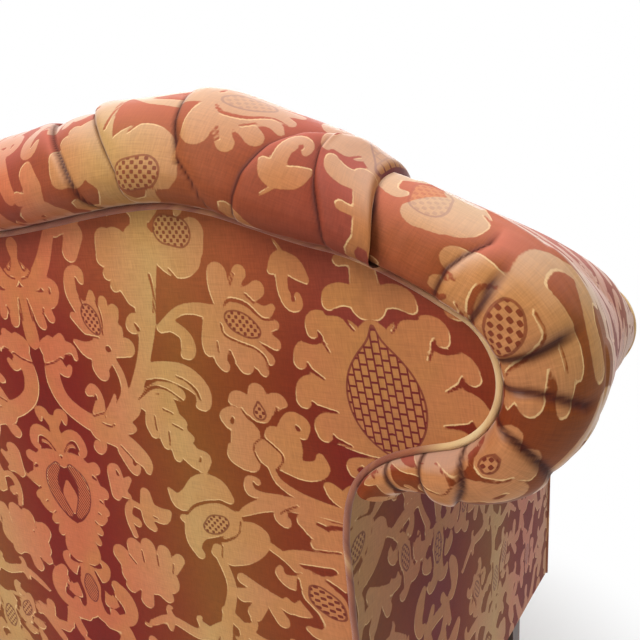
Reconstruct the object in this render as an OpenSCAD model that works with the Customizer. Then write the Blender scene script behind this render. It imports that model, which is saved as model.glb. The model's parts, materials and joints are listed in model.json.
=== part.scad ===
// Camelback loveseat: scroll arms, one-piece back with a camel hump, two loose seat cushions.
// X runs across, the sitter faces -Y, Z is up. The origin is on the floor under the middle.

/* [Overall] */
// Clear width of the seat between the inside arms
seat_w = 1100; // [1000:10:1300]
// Height of the arm line, from which the outline of the back is measured
arm_line = 690; // [670:5:720]
// Lean of the back from upright, in degrees
rake = 10; // [7:1:12]
// Y of the outside back at the height of the arm line
back_y = 312; // [300:1:340]
// Y of the front faces of the arms
arm_front_y = -366; // [-400:1:-350]

/* [Back] */
// Height of the dips beside the hump, above the arm line
crest_dip = 84; // [70:2:95]
// Rise of the hump above the dips
hump_rise = 81; // [40:1:110]
// Distance of each dip from the middle
dip_x = 300; // [260:10:340]
// Height of the ears above the arm line
ear_rise = 105; // [96:1:120]
// Height above the arm line at which the crest runs into the arm
shoulder_rise = 75; // [66:1:80]
// Radius of the scroll in the outline of the back
lobe_r = 50; // [44:1:56]
// Depth of the back frame, front to back
back_frame_t = 32; // [26:1:38]
// How far the roll round the back stands out past its welt
roll_w = 77; // [55:1:85]
// How far the roll stands out behind the outside back
roll_behind = 28; // [15:1:35]
// Depth of the stuffing at the edge of the inside back
back_pad_t = 59; // [45:1:70]
// Crown of the inside back over its edge
back_crown = 28; // [10:1:34]
// Width of the webbing straps
strap_w = 50; // [40:2:60]

/* [Arms] */
// Radius of the arm's scroll at the back
scroll_r_rear = 103; // [95:1:108]
// Radius of the arm's scroll at the front
scroll_r_front = 70; // [62:1:80]
// Drop of the scroll's centre below the arm line at the front
scroll_drop = 75; // [60:1:90]
// Thickness of the arm below its scroll, at the front
arm_t_front = 111; // [105:1:120]
// Thickness of the arm below its scroll, at the back
arm_t_rear = 90.5; // [88:0.5:98]
// Stuffing on the inside of the arm
arm_pad_t = 22; // [16:1:26]
// Thickness of the board that carries the scroll
arm_board_t = 26; // [20:1:30]

/* [Seat] */
// Height of the seat rails above the floor, which is the height of the legs
leg_h = 215; // [180:5:240]
// Height of the seat rails
rail_h = 125; // [110:5:150]
// Thickness of the seat rails
rail_t = 28; // [22:1:32]
// Side of the square front legs at the top
leg_w = 50; // [44:1:56]
// Side of the square front legs at the floor
leg_foot_w = 36; // [30:1:42]
// How far the rear legs sweep back at the floor
leg_sweep = 42; // [20:2:60]
// Thickness of the deck pad under the cushions
deck_pad_t = 11; // [8:1:20]
// Springs across the seat
spring_columns = 5; // [4:1:5]
// Turns of each seat spring
spring_turns = 3.5; // [3:0.5:4]
// Radius of the springs at their ends
spring_r = 56; // [45:1:62]
// Radius of the springs at the waist
spring_waist_r = 37; // [30:1:42]
// Diameter of the spring wire
wire_d = 3.6; // [3:0.2:4]

/* [Cushions] */
// Height of the seat cushions at their seams
cushion_h = 118; // [90:2:130]
// Crown of the cushions above their seams
cushion_crown = 13; // [6:1:16]
// Radius of the cushions' corners
cushion_corner_r = 34; // [24:1:40]
// How far the sides of the cushions draw in between the corners
cushion_pull = 4; // [0:0.5:8]
// Room behind the cushions, for their zips
cushion_room = 13.7; // [13:0.1:30]
// Length of the zip in each cushion
zip_l = 420; // [300:10:440]

/* [Trim] */
// Diameter of the welts
welt_d = 5.5; // [4.5:0.1:6.5]
// Thickness of the covering cloth where it is a flat panel
cloth_t = 1.7; // [1.2:0.1:2.4]
// Clearance between neighbouring pieces
fit = 0.3; // [0.2:0.05:0.4]

/* [Hidden] */
$fn = 48;

half_seat = seat_w / 2;
welt_r = welt_d / 2;

// Outline of the back, half of it, in the plane of the outside back: x from the middle,
// v up the leaning back from the arm line, w forward from the outside back
ear_in = 30;
shoulder_out = 100;
lobe_out = 162;
ear_x = half_seat - ear_in;
shoulder_x = half_seat + shoulder_out;
lobe_x = half_seat + lobe_out;
lobe_v = -8;
lobe_start = 58;
lobe_end = -75;
stem_out = 93;
stem_foot_out = 90;
stem_x = half_seat + stem_out;
stem_top_v = -150;
stem_foot_x = half_seat + stem_foot_out;
frame_w = 2;
frame_front = frame_w + back_frame_t;
strap_t = 1.2;
pad_back_w = frame_front + 2 * strap_t + fit;
pad_edge_w = frame_front + back_pad_t;
panel_foot_v = (leg_h - arm_line) / cos(rake);
rail_top = leg_h + rail_h;

// Frame across the width
post_w = 54;
post_out = 86;
post_out_x = half_seat + post_out;
post_in_x = post_out_x - post_w;
frame_in_x = half_seat + arm_pad_t;
rail_out_x = post_out_x;
rail_in_x = rail_out_x - rail_t;

// Frame from front to back
facing_t = 5;
facing_back_y = arm_front_y + facing_t;
arm_start_y = facing_back_y + fit;
arm_post_t = 28;
arm_post_y = arm_start_y;
border_set_back = 4;
border_front_y = arm_front_y + border_set_back;
front_rail_y = arm_post_y + arm_post_t;
front_rail_back_y = front_rail_y + rail_t;

// Seat, from the webbing up
web_t = 1.2;
twine_d = 2.4;
spring_sink = 6;
spring_top = rail_top - spring_sink;
burlap_t = 1.2;
deck_z = rail_top + burlap_t;
deck_cloth_z = deck_z + deck_pad_t;
deck_cloth_t = 1.2;
seat_z = deck_cloth_z + deck_cloth_t;
arm_foot_gap = 4;
arm_foot_z = seat_z + arm_foot_gap;
pad_foot_gap = 7;
pad_foot_v = (seat_z + pad_foot_gap - arm_line) / cos(rake);

// Arm scroll: centre and radius at the back and at the front
scroll_out_rear = 169;
scroll_out_front = 154;
scroll_rise_rear = 21;
board_out = 190;
board_sink = 24;
scroll_x_rear = half_seat + scroll_out_rear;
scroll_x_front = half_seat + scroll_out_front;
scroll_z_rear = arm_line + scroll_rise_rear;
scroll_z_front = arm_line - scroll_drop;
board_out_x = half_seat + board_out;
board_z_rear = arm_line - board_sink;
board_z_front = scroll_z_front;
arm_top_b = 110;
// Thickness of the arm's cover and wadding where the scroll runs out
arm_skin = 7;
wing_v = -10;

function mix(a, b, t) = a + (b - a) * t;
function ease(t) = 0.5 - 0.5 * cos(180 * t);
function unit(a) = a / norm(a);
function last(a) = a[len(a) - 1];
function reversed(a) = [for (i = [len(a) - 1:-1:0]) a[i]];
function mirrored(a) = [for (i = [len(a) - 1:-1:0]) [-a[i][0], a[i][1]]];

// Height of a curve at x between two points that each hold [x, height, slope]
function blend(a, b, x) =
    let (d = b[0] - a[0], t = (x - a[0]) / d)
    (2 * t^3 - 3 * t^2 + 1) * a[1] + (t^3 - 2 * t^2 + t) * d * a[2]
    + (3 * t^2 - 2 * t^3) * b[1] + (t^3 - t^2) * d * b[2];

function bezier(a, b, c, d, t) =
    (1 - t)^3 * a + 3 * (1 - t)^2 * t * b + 3 * (1 - t) * t^2 * c + t^3 * d;

function lobe_point(angle) = [lobe_x + lobe_r * cos(angle), lobe_v + lobe_r * sin(angle)];

// The crest passes hump, dip, ear and shoulder, and runs into the lobe
crest_marks = [
    [0, crest_dip + hump_rise, 0],
    [dip_x, crest_dip, 0],
    [ear_x, ear_rise, 0],
    [shoulder_x, shoulder_rise, -0.21],
    [lobe_point(lobe_start)[0], lobe_point(lobe_start)[1], -1 / tan(lobe_start)]
];
function crest_v(x) =
    let (i = x < crest_marks[1][0] ? 0 : x < crest_marks[2][0] ? 1 : x < crest_marks[3][0] ? 2 : 3)
    blend(crest_marks[i], crest_marks[i + 1], x);

// The crest roll ends at this x, where the cover of the arm starts
roll_end_out = 140;
roll_end_x = half_seat + roll_end_out;
roll_end = [roll_end_x, crest_v(roll_end_x)];
roll_end_t = unit([1, crest_v(roll_end_x + 0.5) - crest_v(roll_end_x - 0.5)]);
roll_end_n = [-roll_end_t[1], roll_end_t[0]];

lobe_step = 19;
tail_steps = 7;
// The tail swings out past the stem by tail_out, this far above the stem's top
tail_out = 6;
tail_rise = 55;
function tail_point(t) =
    let (a = lobe_point(lobe_end), back = [sin(lobe_end), -cos(lobe_end)])
    bezier(a, a + 1.35 * lobe_r * back, [stem_x + tail_out, stem_top_v + tail_rise], [stem_x, stem_top_v], t);
lobe_outline = concat(
    [for (a = [lobe_start:-lobe_step:lobe_end + 1]) lobe_point(a)],
    [for (i = [0:tail_steps]) tail_point(i / tail_steps)]
);
crest_steps = 19;
crest_half = [for (i = [0:crest_steps]) let (x = roll_end_x * i / crest_steps) [x, crest_v(x)]];
// Height of the crest as it is built, straight between its stations
function crest_line(x) = lookup(abs(x), crest_half);
// Stations of the crest between two distances from the middle, both ends included
function crest_part(from, to) = concat(
    [[from, crest_line(from)]],
    [for (p = crest_half) if (p[0] > from + 1 && p[0] < to - 1) p],
    [[to, crest_line(to)]]
);
half_outline = concat(crest_half, lobe_outline, [[stem_foot_x, panel_foot_v]]);
outline = concat(mirrored(half_outline), [for (i = [1:len(half_outline) - 1]) half_outline[i]]);

function tangent(p, i) = unit(p[min(i + 1, len(p) - 1)] - p[max(i - 1, 0)]);
function outward(p, i) = let (t = tangent(p, i)) [-t[1], t[0]];

// World Y and Z of a point of the leaning back
function back_yz(v, w) = [
    back_y + v * sin(rake) - w * cos(rake),
    arm_line + v * cos(rake) + w * sin(rake)
];
// World Y of the layer w of the leaning back at the height z
function layer_y(z, w) = back_y - w / cos(rake) + (z - arm_line) * tan(rake);

module in_back() {
    translate([0, back_y, arm_line])
        rotate([90 - rake, 0, 0])
            children();
}

module side(right) {
    if (right) children();
    else mirror([1, 0, 0]) children();
}

// A closed skin over rings that each hold the same number of points. The end rings are filled as
// polygons, or with the given triangles where a ring isn't convex
module loft(rings, closed = false, flip = false, cap = []) {
    m = len(rings[0]);
    n = len(rings);
    walls = [
        for (i = [0:n - (closed ? 1 : 2)], j = [0:m - 1])
            let (a = i * m + j, b = i * m + (j + 1) % m)
            let (c = ((i + 1) % n) * m + j, d = ((i + 1) % n) * m + (j + 1) % m)
            each [[a, b, d], [a, d, c]]
    ];
    fill = cap == [] ? [[for (j = [0:m - 1]) j]] : cap;
    ends = closed ? [] : concat([for (f = fill) reversed(f)], [for (f = fill) [for (j = f) (n - 1) * m + j]]);
    faces = concat(walls, ends);
    polyhedron(
        points = [for (ring = rings) each ring],
        faces = flip ? [for (f = faces) reversed(f)] : faces,
        convexity = 8
    );
}

// A round tube of the radius r along points, whose rings stay square to the path
module tube(points, r, sides, closed = false) {
    n = len(points);
    rings = [
        for (i = [0:n - 1])
            let (before = closed ? points[(i + n - 1) % n] : points[max(i - 1, 0)])
            let (after = closed ? points[(i + 1) % n] : points[min(i + 1, n - 1)])
            let (t = unit(after - before), s = unit(cross(t, [0, 0, 1])), u = cross(s, t))
            [for (j = [0:sides - 1]) points[i] + r * (cos(360 * j / sides) * s + sin(360 * j / sides) * u)]
    ];
    loft(rings, closed);
}

module board(size, at) {
    translate(at) cube(size);
}

// A board of the thickness t across X, cut to an outline in Y and Z
module side_board(x, t, points) {
    translate([x, 0, 0])
        rotate([90, 0, 90])
            linear_extrude(t)
                polygon(points);
}

// Back frame

// Y of the leg's back edge, which sweeps back below the seat rail
function leg_back_y(z) = layer_y(leg_h, frame_w) + leg_sweep * (1 - (z - glide_h) / (leg_h - glide_h))^2;
glide_h = 4;
leg_steps = 6;
leg_taper = 4;

// The posts end this far under the shoulders, in the crest rail
post_sink = 30;
crest_rail_h = 68;

module rear_post(right) {
    top = shoulder_rise - post_sink;
    depth = back_frame_t / cos(rake);
    levels = [for (i = [0:leg_steps]) mix(glide_h, leg_h, i / leg_steps)];
    shape = concat(
        [for (z = levels) [leg_back_y(z), z]],
        [back_yz(top, frame_w), back_yz(top, frame_front)],
        [for (z = reversed(levels)) [leg_back_y(z) - depth + leg_taper * (1 - z / leg_h), z]]
    );
    color("burlywood") side(right) side_board(post_in_x, post_w, shape);
}

module crest_rail() {
    half = crest_part(0, post_out_x);
    post_top = shoulder_rise - post_sink + fit;
    haunch = 12;
    haunch_in = 30;
    under = [for (p = crest_part(0, post_in_x - haunch_in)) [p[0], p[1] - crest_rail_h]];
    shape = concat(
        mirrored(half),
        [for (i = [1:len(half) - 1]) half[i]],
        [[post_out_x, post_top], [post_in_x - haunch, post_top]],
        reversed(under),
        [for (i = [1:len(under) - 1]) [-under[i][0], under[i][1]]],
        [[-(post_in_x - haunch), post_top], [-post_out_x, post_top]]
    );
    color("burlywood") in_back() translate([0, 0, frame_w]) linear_extrude(back_frame_t) polygon(shape);
}

module scroll_block(right) {
    in_x = post_out_x + fit;
    // It stands on the top of the outside arm
    foot_v = (last(arm_section(0))[1] - arm_line - frame_w * sin(rake)) / cos(rake);
    shape = concat(crest_part(in_x, roll_end_x), lobe_outline, [[in_x, stem_top_v]]);
    color("burlywood") side(right) in_back()
        translate([0, 0, frame_w]) linear_extrude(back_frame_t) intersection() {
            polygon(shape);
            translate([0, foot_v]) square([2 * half_seat, half_seat]);
        }
}

tacking_v = -250;
tacking_h = 45;

module back_tacking_rail() {
    color("burlywood") in_back()
        board([2 * (post_in_x - fit), tacking_h, back_frame_t], [-(post_in_x - fit), tacking_v, frame_w]);
}

stile_w = 45;

module back_centre_stile() {
    half = stile_w / 2;
    foot = tacking_v + tacking_h + fit;
    top = [for (x = [half, 0, -half]) [x, crest_line(x) - crest_rail_h - fit]];
    color("burlywood") in_back() translate([0, 0, frame_w]) linear_extrude(back_frame_t)
        polygon(concat([[-half, foot], [half, foot]], top));
}

// Straps of the back: how far their ends lie inside the frame, and where the lowest row runs
strap_end_in = 22;
strap_row_v = -190;
strap_row_pitch = 90;

module back_webbing() {
    columns = 6;
    rows = 3;
    foot = tacking_v + 4;
    color("tan") in_back() {
        for (i = [0:columns - 1]) {
            x = (i - (columns - 1) / 2) * (2 * half_seat / columns);
            top = crest_v(abs(x) + strap_w) - strap_end_in;
            board([strap_w, top - foot, strap_t], [x - strap_w / 2, foot, frame_front]);
        }
        for (i = [0:rows - 1])
            board([2 * (half_seat - fit), strap_w, strap_t],
                [-(half_seat - fit), strap_row_v + i * strap_row_pitch, frame_front + strap_t]);
    }
}

// Arm frames

// Y at which an arm starts behind, in front of the back frame, at the height z
function arm_rear_y(z) = layer_y(z, frame_front + fit);
// Share of the way from the back to the front of an arm
function arm_share(y) = (arm_rear_y(arm_line) - y) / (arm_rear_y(arm_line) - arm_start_y);
// World Y of the station t of an arm at the height z: leaning behind, upright in front
function arm_y(t, z) = mix(arm_rear_y(arm_line), arm_start_y, t) + (z - arm_line) * tan(rake) * (1 - t);

module arm_post(right) {
    under = board_z_front - arm_board_t / 2 - 2 * fit;
    out_x = arm_out_x(arm_share(arm_post_y + arm_post_t)) - arm_skin - 2 * fit;
    color("burlywood") side(right)
        board([out_x - frame_in_x - fit, arm_post_t, under - leg_h], [frame_in_x + fit, arm_post_y, leg_h]);
}

// The board runs straight between the ends of the hollow that the arm's stations leave
module arm_board(right) {
    low = board_z_rear - arm_board_t / 2;
    high = board_z_rear + arm_board_t / 2;
    drop = board_z_rear - board_z_front;
    shape = [
        [arm_start_y, low - drop], [arm_y(0, low), low],
        [arm_y(0, high), high], [arm_start_y, high - drop]
    ];
    color("burlywood") side(right) side_board(frame_in_x + fit, board_out_x - fit - frame_in_x - fit, shape);
}

arm_rail_gap = 8;
arm_rail_h = 40;
arm_rail_t = 22;

module arm_tacking_rail(right) {
    low = seat_z + arm_rail_gap;
    high = low + arm_rail_h;
    shape = [
        [arm_post_y + arm_post_t, low], [arm_rear_y(low), low],
        [arm_rear_y(high), high], [arm_post_y + arm_post_t, high]
    ];
    color("burlywood") side(right) side_board(frame_in_x + fit, arm_rail_t, shape);
}

// Seat frame

screw_d = 4.4;
screw_head_d = 8.6;
screw_head_h = 3;
block_w = 66;
block_h = 80;
rear_block_t = 40;
// A screw crosses a block this far from its square corner, and bites into the rail
screw_reach = block_w * 0.32;
screw_bite = 16;

// Where the screws of the front corner blocks start: one into the front rail, one into the side rail
module at_block_screws() {
    z = leg_h + rail_h / 2;
    translate([rail_in_x - block_w + screw_reach, front_rail_back_y + screw_reach, z])
        rotate([90, 0, 0]) children();
    translate([rail_in_x - screw_reach, front_rail_back_y + block_w - screw_reach, z])
        rotate([0, 90, 0]) children();
}

module block_screw_holes() {
    side(true) at_block_screws() cylinder(h = screw_reach + screw_bite + 1, d = screw_d + fit);
    side(false) at_block_screws() cylinder(h = screw_reach + screw_bite + 1, d = screw_d + fit);
}

module front_rail() {
    color("burlywood") difference() {
        board([2 * rail_out_x, rail_t, rail_h], [-rail_out_x, front_rail_y, leg_h]);
        block_screw_holes();
    }
}

module side_rail(right) {
    shape = [
        [front_rail_back_y, leg_h], [layer_y(leg_h, frame_front), leg_h],
        [layer_y(rail_top, frame_front), rail_top], [front_rail_back_y, rail_top]
    ];
    color("burlywood") difference() {
        side(right) side_board(rail_in_x, rail_t, shape);
        block_screw_holes();
    }
}

rear_rail_gap = 8;

module rear_rail() {
    foot = panel_foot_v + rear_rail_gap;
    color("burlywood") in_back()
        board([2 * (post_in_x - fit), rail_h, back_frame_t], [-(post_in_x - fit), foot, frame_w]);
}

module corner_blocks() {
    z = leg_h + (rail_h - block_h) / 2;
    rear = layer_y(z, frame_front);
    rear_top = layer_y(z + block_h, frame_front);
    color("peru") for (right = [false, true]) {
        difference() {
            side(right) translate([rail_in_x, front_rail_back_y, z]) linear_extrude(block_h)
                polygon([[0, 0], [0, block_w], [-block_w, 0]]);
            block_screw_holes();
            side(right) at_block_screws() mirror([0, 0, 1]) cylinder(h = block_w, d = screw_head_d + 2 * fit);
        }
        side(right) side_board(post_in_x, rail_in_x - post_in_x,
            [
                [rear - rear_block_t, z], [rear, z],
                [rear_top, z + block_h], [rear - rear_block_t, z + block_h]
            ]);
    }
}

module corner_block_screws() {
    length = screw_reach + screw_bite;
    color("silver") for (right = [false, true]) side(right) at_block_screws() {
        cylinder(h = length, d = screw_d);
        mirror([0, 0, 1]) cylinder(h = screw_head_h, d = screw_head_d);
    }
}

module front_leg(right) {
    x = frame_in_x + fit;
    inset = leg_w - leg_foot_w;
    color("saddlebrown") side(right) intersection() {
        side_board(x, leg_w, [
            [arm_post_y, leg_h], [arm_post_y, glide_h],
            [arm_post_y + leg_foot_w, glide_h], [arm_post_y + leg_w, leg_h]
        ]);
        translate([0, arm_post_y + leg_w, 0]) rotate([90, 0, 0]) linear_extrude(leg_w)
            polygon([[x + inset, glide_h], [x + leg_w, glide_h], [x + leg_w, leg_h], [x, leg_h]]);
    }
}

glide_r = 11;
glide_rim_h = 2;
glide_taper = 3;

module leg_glides() {
    rear_y = (2 * leg_back_y(glide_h) - back_frame_t / cos(rake) + leg_taper) / 2;
    color("dimgray") for (right = [false, true]) side(right)
        for (at = [[frame_in_x + fit + leg_w - leg_foot_w / 2, arm_post_y + leg_foot_w / 2],
                [post_in_x + post_w / 2, rear_y]])
            translate([at[0], at[1], 0]) {
                cylinder(h = glide_rim_h, r = glide_r);
                translate([0, 0, glide_rim_h])
                    cylinder(h = glide_h - glide_rim_h, r1 = glide_r, r2 = glide_r - glide_taper);
            }
}

// Seat

// The straps stop short of the rails' outer edges. Rows run from side to side under the columns
strap_edge = 4;
seat_row_pitch = 82;
seat_row_start = 14;

module seat_webbing() {
    rear = layer_y(leg_h, frame_front) - 2;
    length = rear + back_frame_t * 0.6 - front_rail_y - strap_edge;
    color("tan") {
        for (i = [0:spring_columns - 1], edge = [-1, 1]) {
            x = spring_x(i) + edge * (spring_r - strap_w / 4);
            board([strap_w, length, web_t], [x - strap_w / 2, front_rail_y + strap_edge, leg_h - web_t]);
        }
        for (i = [0:4])
            board([2 * (rail_out_x - strap_edge), strap_w, web_t],
                [-(rail_out_x - strap_edge), front_rail_back_y + seat_row_start + i * seat_row_pitch,
                    leg_h - 2 * web_t]);
    }
}

spring_rows = 2;
spring_pitch_x = 0.19 * seat_w;
spring_pitch_y = 190;
spring_mid_y = -66;
function spring_x(column) = (column - (spring_columns - 1) / 2) * spring_pitch_x;
function spring_y(row) = spring_mid_y + (row - (spring_rows - 1) / 2) * spring_pitch_y;
spring_rings = 8;
spring_foot_z = leg_h + wire_d / 2 + fit;
spring_head_z = spring_top - wire_d / 2;

// The wire climbs at a steady rate, drawn in at the waist
spring_path = [
    for (i = [0:spring_turns * spring_rings])
        let (t = i / (spring_turns * spring_rings), a = 360 * i / spring_rings)
        let (r = spring_waist_r + (spring_r - spring_waist_r) * abs(2 * t - 1)^1.4)
        [r * cos(a), r * sin(a), mix(spring_foot_z, spring_head_z, t)]
];
spring_gap = min([
    for (i = [0:len(spring_path) - 1], j = [i + spring_rings / 2:1:len(spring_path) - 1])
        norm(spring_path[i] - spring_path[j]) - wire_d
]);
assert(spring_gap > fit, "the turns of a seat spring touch");

module seat_springs() {
    color("slategray")
        for (i = [0:spring_columns - 1], j = [0:spring_rows - 1])
            translate([spring_x(i), spring_y(j), 0])
                tube(spring_path, wire_d / 2, 6);
}

module spring_twine() {
    z = spring_top + fit + twine_d / 2;
    z_over = z + twine_d + fit;
    y_end = layer_y(z_over, frame_front) - fit;
    color("wheat") {
        for (i = [0:spring_columns - 1])
            translate([spring_x(i), front_rail_back_y + fit, z])
                rotate([-90, 0, 0]) cylinder(h = y_end - 5 - front_rail_back_y, d = twine_d);
        for (j = [0:spring_rows - 1])
            translate([-rail_in_x + fit, spring_y(j), z_over - fit / 2])
                rotate([0, 90, 0]) cylinder(h = 2 * (rail_in_x - fit), d = twine_d);
    }
}

deck_half = half_seat - fit;
deck_back_y = layer_y(rail_top, frame_front) - 2;

// A layer of the deck, from the front rail to the back frame
module deck_layer(z, t) {
    board([2 * deck_half, deck_back_y - front_rail_y, t], [-deck_half, front_rail_y, z]);
}

module seat_burlap() {
    color("peru") deck_layer(rail_top, burlap_t);
}

module deck_pad() {
    color("ivory") deck_layer(deck_z, deck_pad_t);
}

module deck_cloth() {
    color("rosybrown") deck_layer(deck_cloth_z, deck_cloth_t);
}

dust_edge = 3;

module dust_cover() {
    x = rail_out_x - dust_edge;
    y0 = front_rail_y + dust_edge;
    notch_x = frame_in_x - 6;
    notch_y = arm_post_y + leg_w + 4;
    y1 = layer_y(leg_h, frame_front) - 8;
    color("dimgray") translate([0, 0, leg_h - 2 * web_t - 1]) linear_extrude(1 - fit / 2)
        polygon([
            [-notch_x, y0], [notch_x, y0], [notch_x, notch_y], [x, notch_y],
            [x, y1], [-x, y1], [-x, notch_y], [-notch_x, notch_y]
        ]);
}

border_r = 9;

module front_border() {
    low = leg_h;
    high = seat_z - welt_d - fit;
    y0 = border_front_y;
    y1 = front_rail_y - fit;
    shape = concat(
        [[y0, low], [y1, low], [y1, high]],
        [for (a = [90:22.5:180]) [y0 + border_r + border_r * cos(a), high - border_r + border_r * sin(a)]]
    );
    color("firebrick") side_board(-deck_half, 2 * deck_half, shape);
}

module front_border_welt() {
    color("goldenrod") translate([-deck_half, border_front_y + border_r, seat_z - welt_r - fit / 2])
        rotate([0, 90, 0]) cylinder(h = 2 * deck_half, r = welt_r);
}

// Stuffed back

// Ring of a roll at a point p of the outline with the outward direction n
function roll_ring(p, n, width, behind, front, round_front) =
    let (mid = round_front ? (front - behind) / 2 : front)
    let (reach = mid + behind, stop = round_front ? 155 : 90)
    [
        for (q = concat(
            [[fit, front], [fit, frame_w + fit], [welt_r + fit, frame_w + fit], [welt_r + fit, -1]],
            [
                for (i = [1:7]) let (a = mix(14, stop, i / 7))
                    [max(width * sin(a)^0.8, welt_r + 1), mid - reach * cos(a)]
            ]
        ))
            [p[0] + q[0] * n[0], p[1] + q[0] * n[1], q[1]]
    ];

module back_roll() {
    path = concat(mirrored(crest_half), [for (i = [1:crest_steps]) crest_half[i]]);
    count = len(path) - 1;
    rings = [
        for (i = [0:count])
            let (thin = 7 * max(0, (abs(path[i][0]) - shoulder_x) / (roll_end_x - shoulder_x)))
            let (n = i == 0 ? [-roll_end_n[0], roll_end_n[1]] : i == count ? roll_end_n : outward(path, i))
            roll_ring(path[i], n, roll_w - thin, roll_behind, pad_edge_w, true)
    ];
    color("indianred") in_back() loft(rings, flip = true);
}

module arm_end_roll(right) {
    start = roll_end + 3 * fit * roll_end_t;
    path = concat([start, mix(start, lobe_outline[0], 0.5)], lobe_outline);
    n = len(path) - 1;
    wide = roll_w - 7;
    narrow = wide - 10;
    tail_w = 9;
    rings = [
        for (i = [0:n - 1])
            let (t = i / (n - 1))
            let (width = t < 0.3 ? mix(wide, narrow, t / 0.3) : mix(narrow, tail_w, ease((t - 0.3) / 0.7)^0.8))
            roll_ring(path[i], i == 0 ? roll_end_n : outward(path, i), width, width * roll_behind / roll_w,
                frame_front, false)
    ];
    color("sienna") side(right) in_back() loft(rings, flip = true);
}

wing_out = 98;
wing_x = half_seat + wing_out;

// Depth of the inside back at x, s of the way up
function pad_front(x, s) =
    pad_edge_w + 8 * (1 - s) + back_crown * (1 - min(1, abs(x) / half_seat)^4) * (1 - abs(2 * s - 1)^3);

module inside_back() {
    rows = 8;
    inner = half_seat - fit;
    right = [for (p = concat(crest_part(0, inner - 1), crest_part(inner, wing_x))) p[0]];
    columns = concat([for (x = reversed(right)) -x], [for (i = [1:len(right) - 1]) right[i]]);
    rings = [
        for (x = columns)
            let (main = abs(x) < inner, low = main ? pad_foot_v : wing_v + fit)
            let (high = crest_line(x) - fit)
            concat(
                [[x, low, pad_back_w]],
                [
                    for (k = [0:rows])
                        [x, mix(low, high, k / rows), main ? pad_front(x, k / rows) : pad_edge_w]
                ],
                [[x, high, pad_back_w]]
            )
    ];
    color("indianred") in_back() loft(rings);
}

module outside_back() {
    inset = welt_r + fit;
    shape = [for (i = [0:len(outline) - 1]) outline[i] - inset * outward(outline, i)];
    color("chocolate") in_back() linear_extrude(cloth_t) polygon(shape);
}

module outside_back_welt() {
    path = [for (p = outline) [p[0], p[1], -1]];
    color("goldenrod") in_back() tube(path, welt_r, 8);
}

// Stuffed arms

// X of the outside arm at the station t
function arm_out_x(t) = half_seat + mix(arm_t_rear, arm_t_front, t);

// The cover turns down from under the scroll into the outside arm in a small cove
cove_out = 13;
cove_in = 4;
cove_drop = 28;

// Outer line of the arm's section at the station t, from the deck over the scroll to the outside arm
function arm_section(t) =
    let (cx = mix(scroll_x_rear, scroll_x_front, t), cz = mix(scroll_z_rear, scroll_z_front, t))
    let (r = mix(scroll_r_rear, scroll_r_front, t), out = arm_out_x(t))
    concat(
        [[half_seat, arm_foot_z]],
        [
            for (a = [180:-15:105])
                [cx + (cx - half_seat) * cos(a), cz + r - arm_top_b + arm_top_b * sin(a)]
        ],
        [for (a = [90:-18:-90]) [cx + r * cos(a), cz + r * sin(a)]],
        [
            [mix(cx, out, 0.5), cz - r - 1], [out + cove_out, cz - r - cove_in],
            [out + cove_in, cz - r - cove_out], [out, cz - r - cove_drop]
        ]
    );

// Inner line of the section, round the arm board
function arm_hollow(t) =
    let (section = arm_section(t), tail = last(section))
    let (z = mix(board_z_rear, board_z_front, t), h = arm_board_t / 2 + fit)
    [
        [tail[0] - arm_skin, tail[1]], [tail[0] - arm_skin, z - h],
        [board_out_x, z - h], [board_out_x, z + h],
        [frame_in_x, z + h], [frame_in_x, arm_foot_z]
    ];

// Triangles that fill an arm's section, fanned from the corners of its hollow in turn: each pair
// holds the first point of a fan on the outer line and the corner that it starts from
arm_fans = [[0, 27], [1, 26], [7, 25], [12, 24], [16, 23], [21, 22]];
arm_cap = [
    for (k = [0:len(arm_fans) - 2])
        let (first = arm_fans[k][0], hub = arm_fans[k][1], next = arm_fans[k + 1])
        each concat([for (j = [first:next[0] - 1]) [j, j + 1, hub]], [[next[0], next[1], hub]])
];

// What the back takes out of the rear end of an arm
module back_space() {
    gap = 1.4 * fit;
    a = roll_end + gap * roll_end_t;
    shape = concat(
        [[half_seat - 1, wing_v], [wing_x + fit, wing_v]],
        [for (p = crest_part(wing_x + fit, roll_end_x)) [p[0], p[1] - gap]],
        [a, a + 120 * roll_end_n, [half_seat - 1, 300]]
    );
    in_back() linear_extrude(pad_edge_w + 4 * fit) polygon(shape);
}

module arm(right) {
    stations = 5;
    rings = [
        for (i = [0:stations])
            let (t = i / stations)
            [for (p = concat(arm_section(t), arm_hollow(t))) [p[0], arm_y(t, p[1]), p[1]]]
    ];
    color("indianred") side(right) difference() {
        loft(rings, cap = arm_cap);
        back_space();
    }
}

outside_arm_t = 4;

// The flat panel below the tail of the scroll, turned a little as the arm widens to the front
module outside_arm(right) {
    out_rear = arm_out_x(0);
    out_front = arm_out_x(1);
    top_rear = last(arm_section(0))[1] - fit;
    top_front = last(arm_section(1))[1] - fit;
    y_low = layer_y(leg_h, frame_w);
    y_high = layer_y(top_rear, frame_w);
    turn = atan((out_front - out_rear) / (layer_y(arm_line, frame_w) - arm_start_y));
    shape = [[arm_start_y, leg_h], [y_low, leg_h], [y_high, top_rear], [arm_start_y, top_front]];
    color("chocolate") side(right)
        translate([out_rear - outside_arm_t, y_high, 0]) rotate([0, 0, turn]) translate([0, -y_high, 0])
            side_board(0, outside_arm_t, shape);
}

// Outline of the facings, clear of the front border by the welt
facing_in_x = half_seat + welt_r;
facing_shape = concat(
    [[facing_in_x, leg_h]],
    [for (p = arm_section(1)) [max(p[0], facing_in_x), p[1]]],
    [[arm_out_x(1), leg_h]]
);
// The middle of the welt lies this far inside the outline
facing_welt_in = 0.4;

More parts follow.
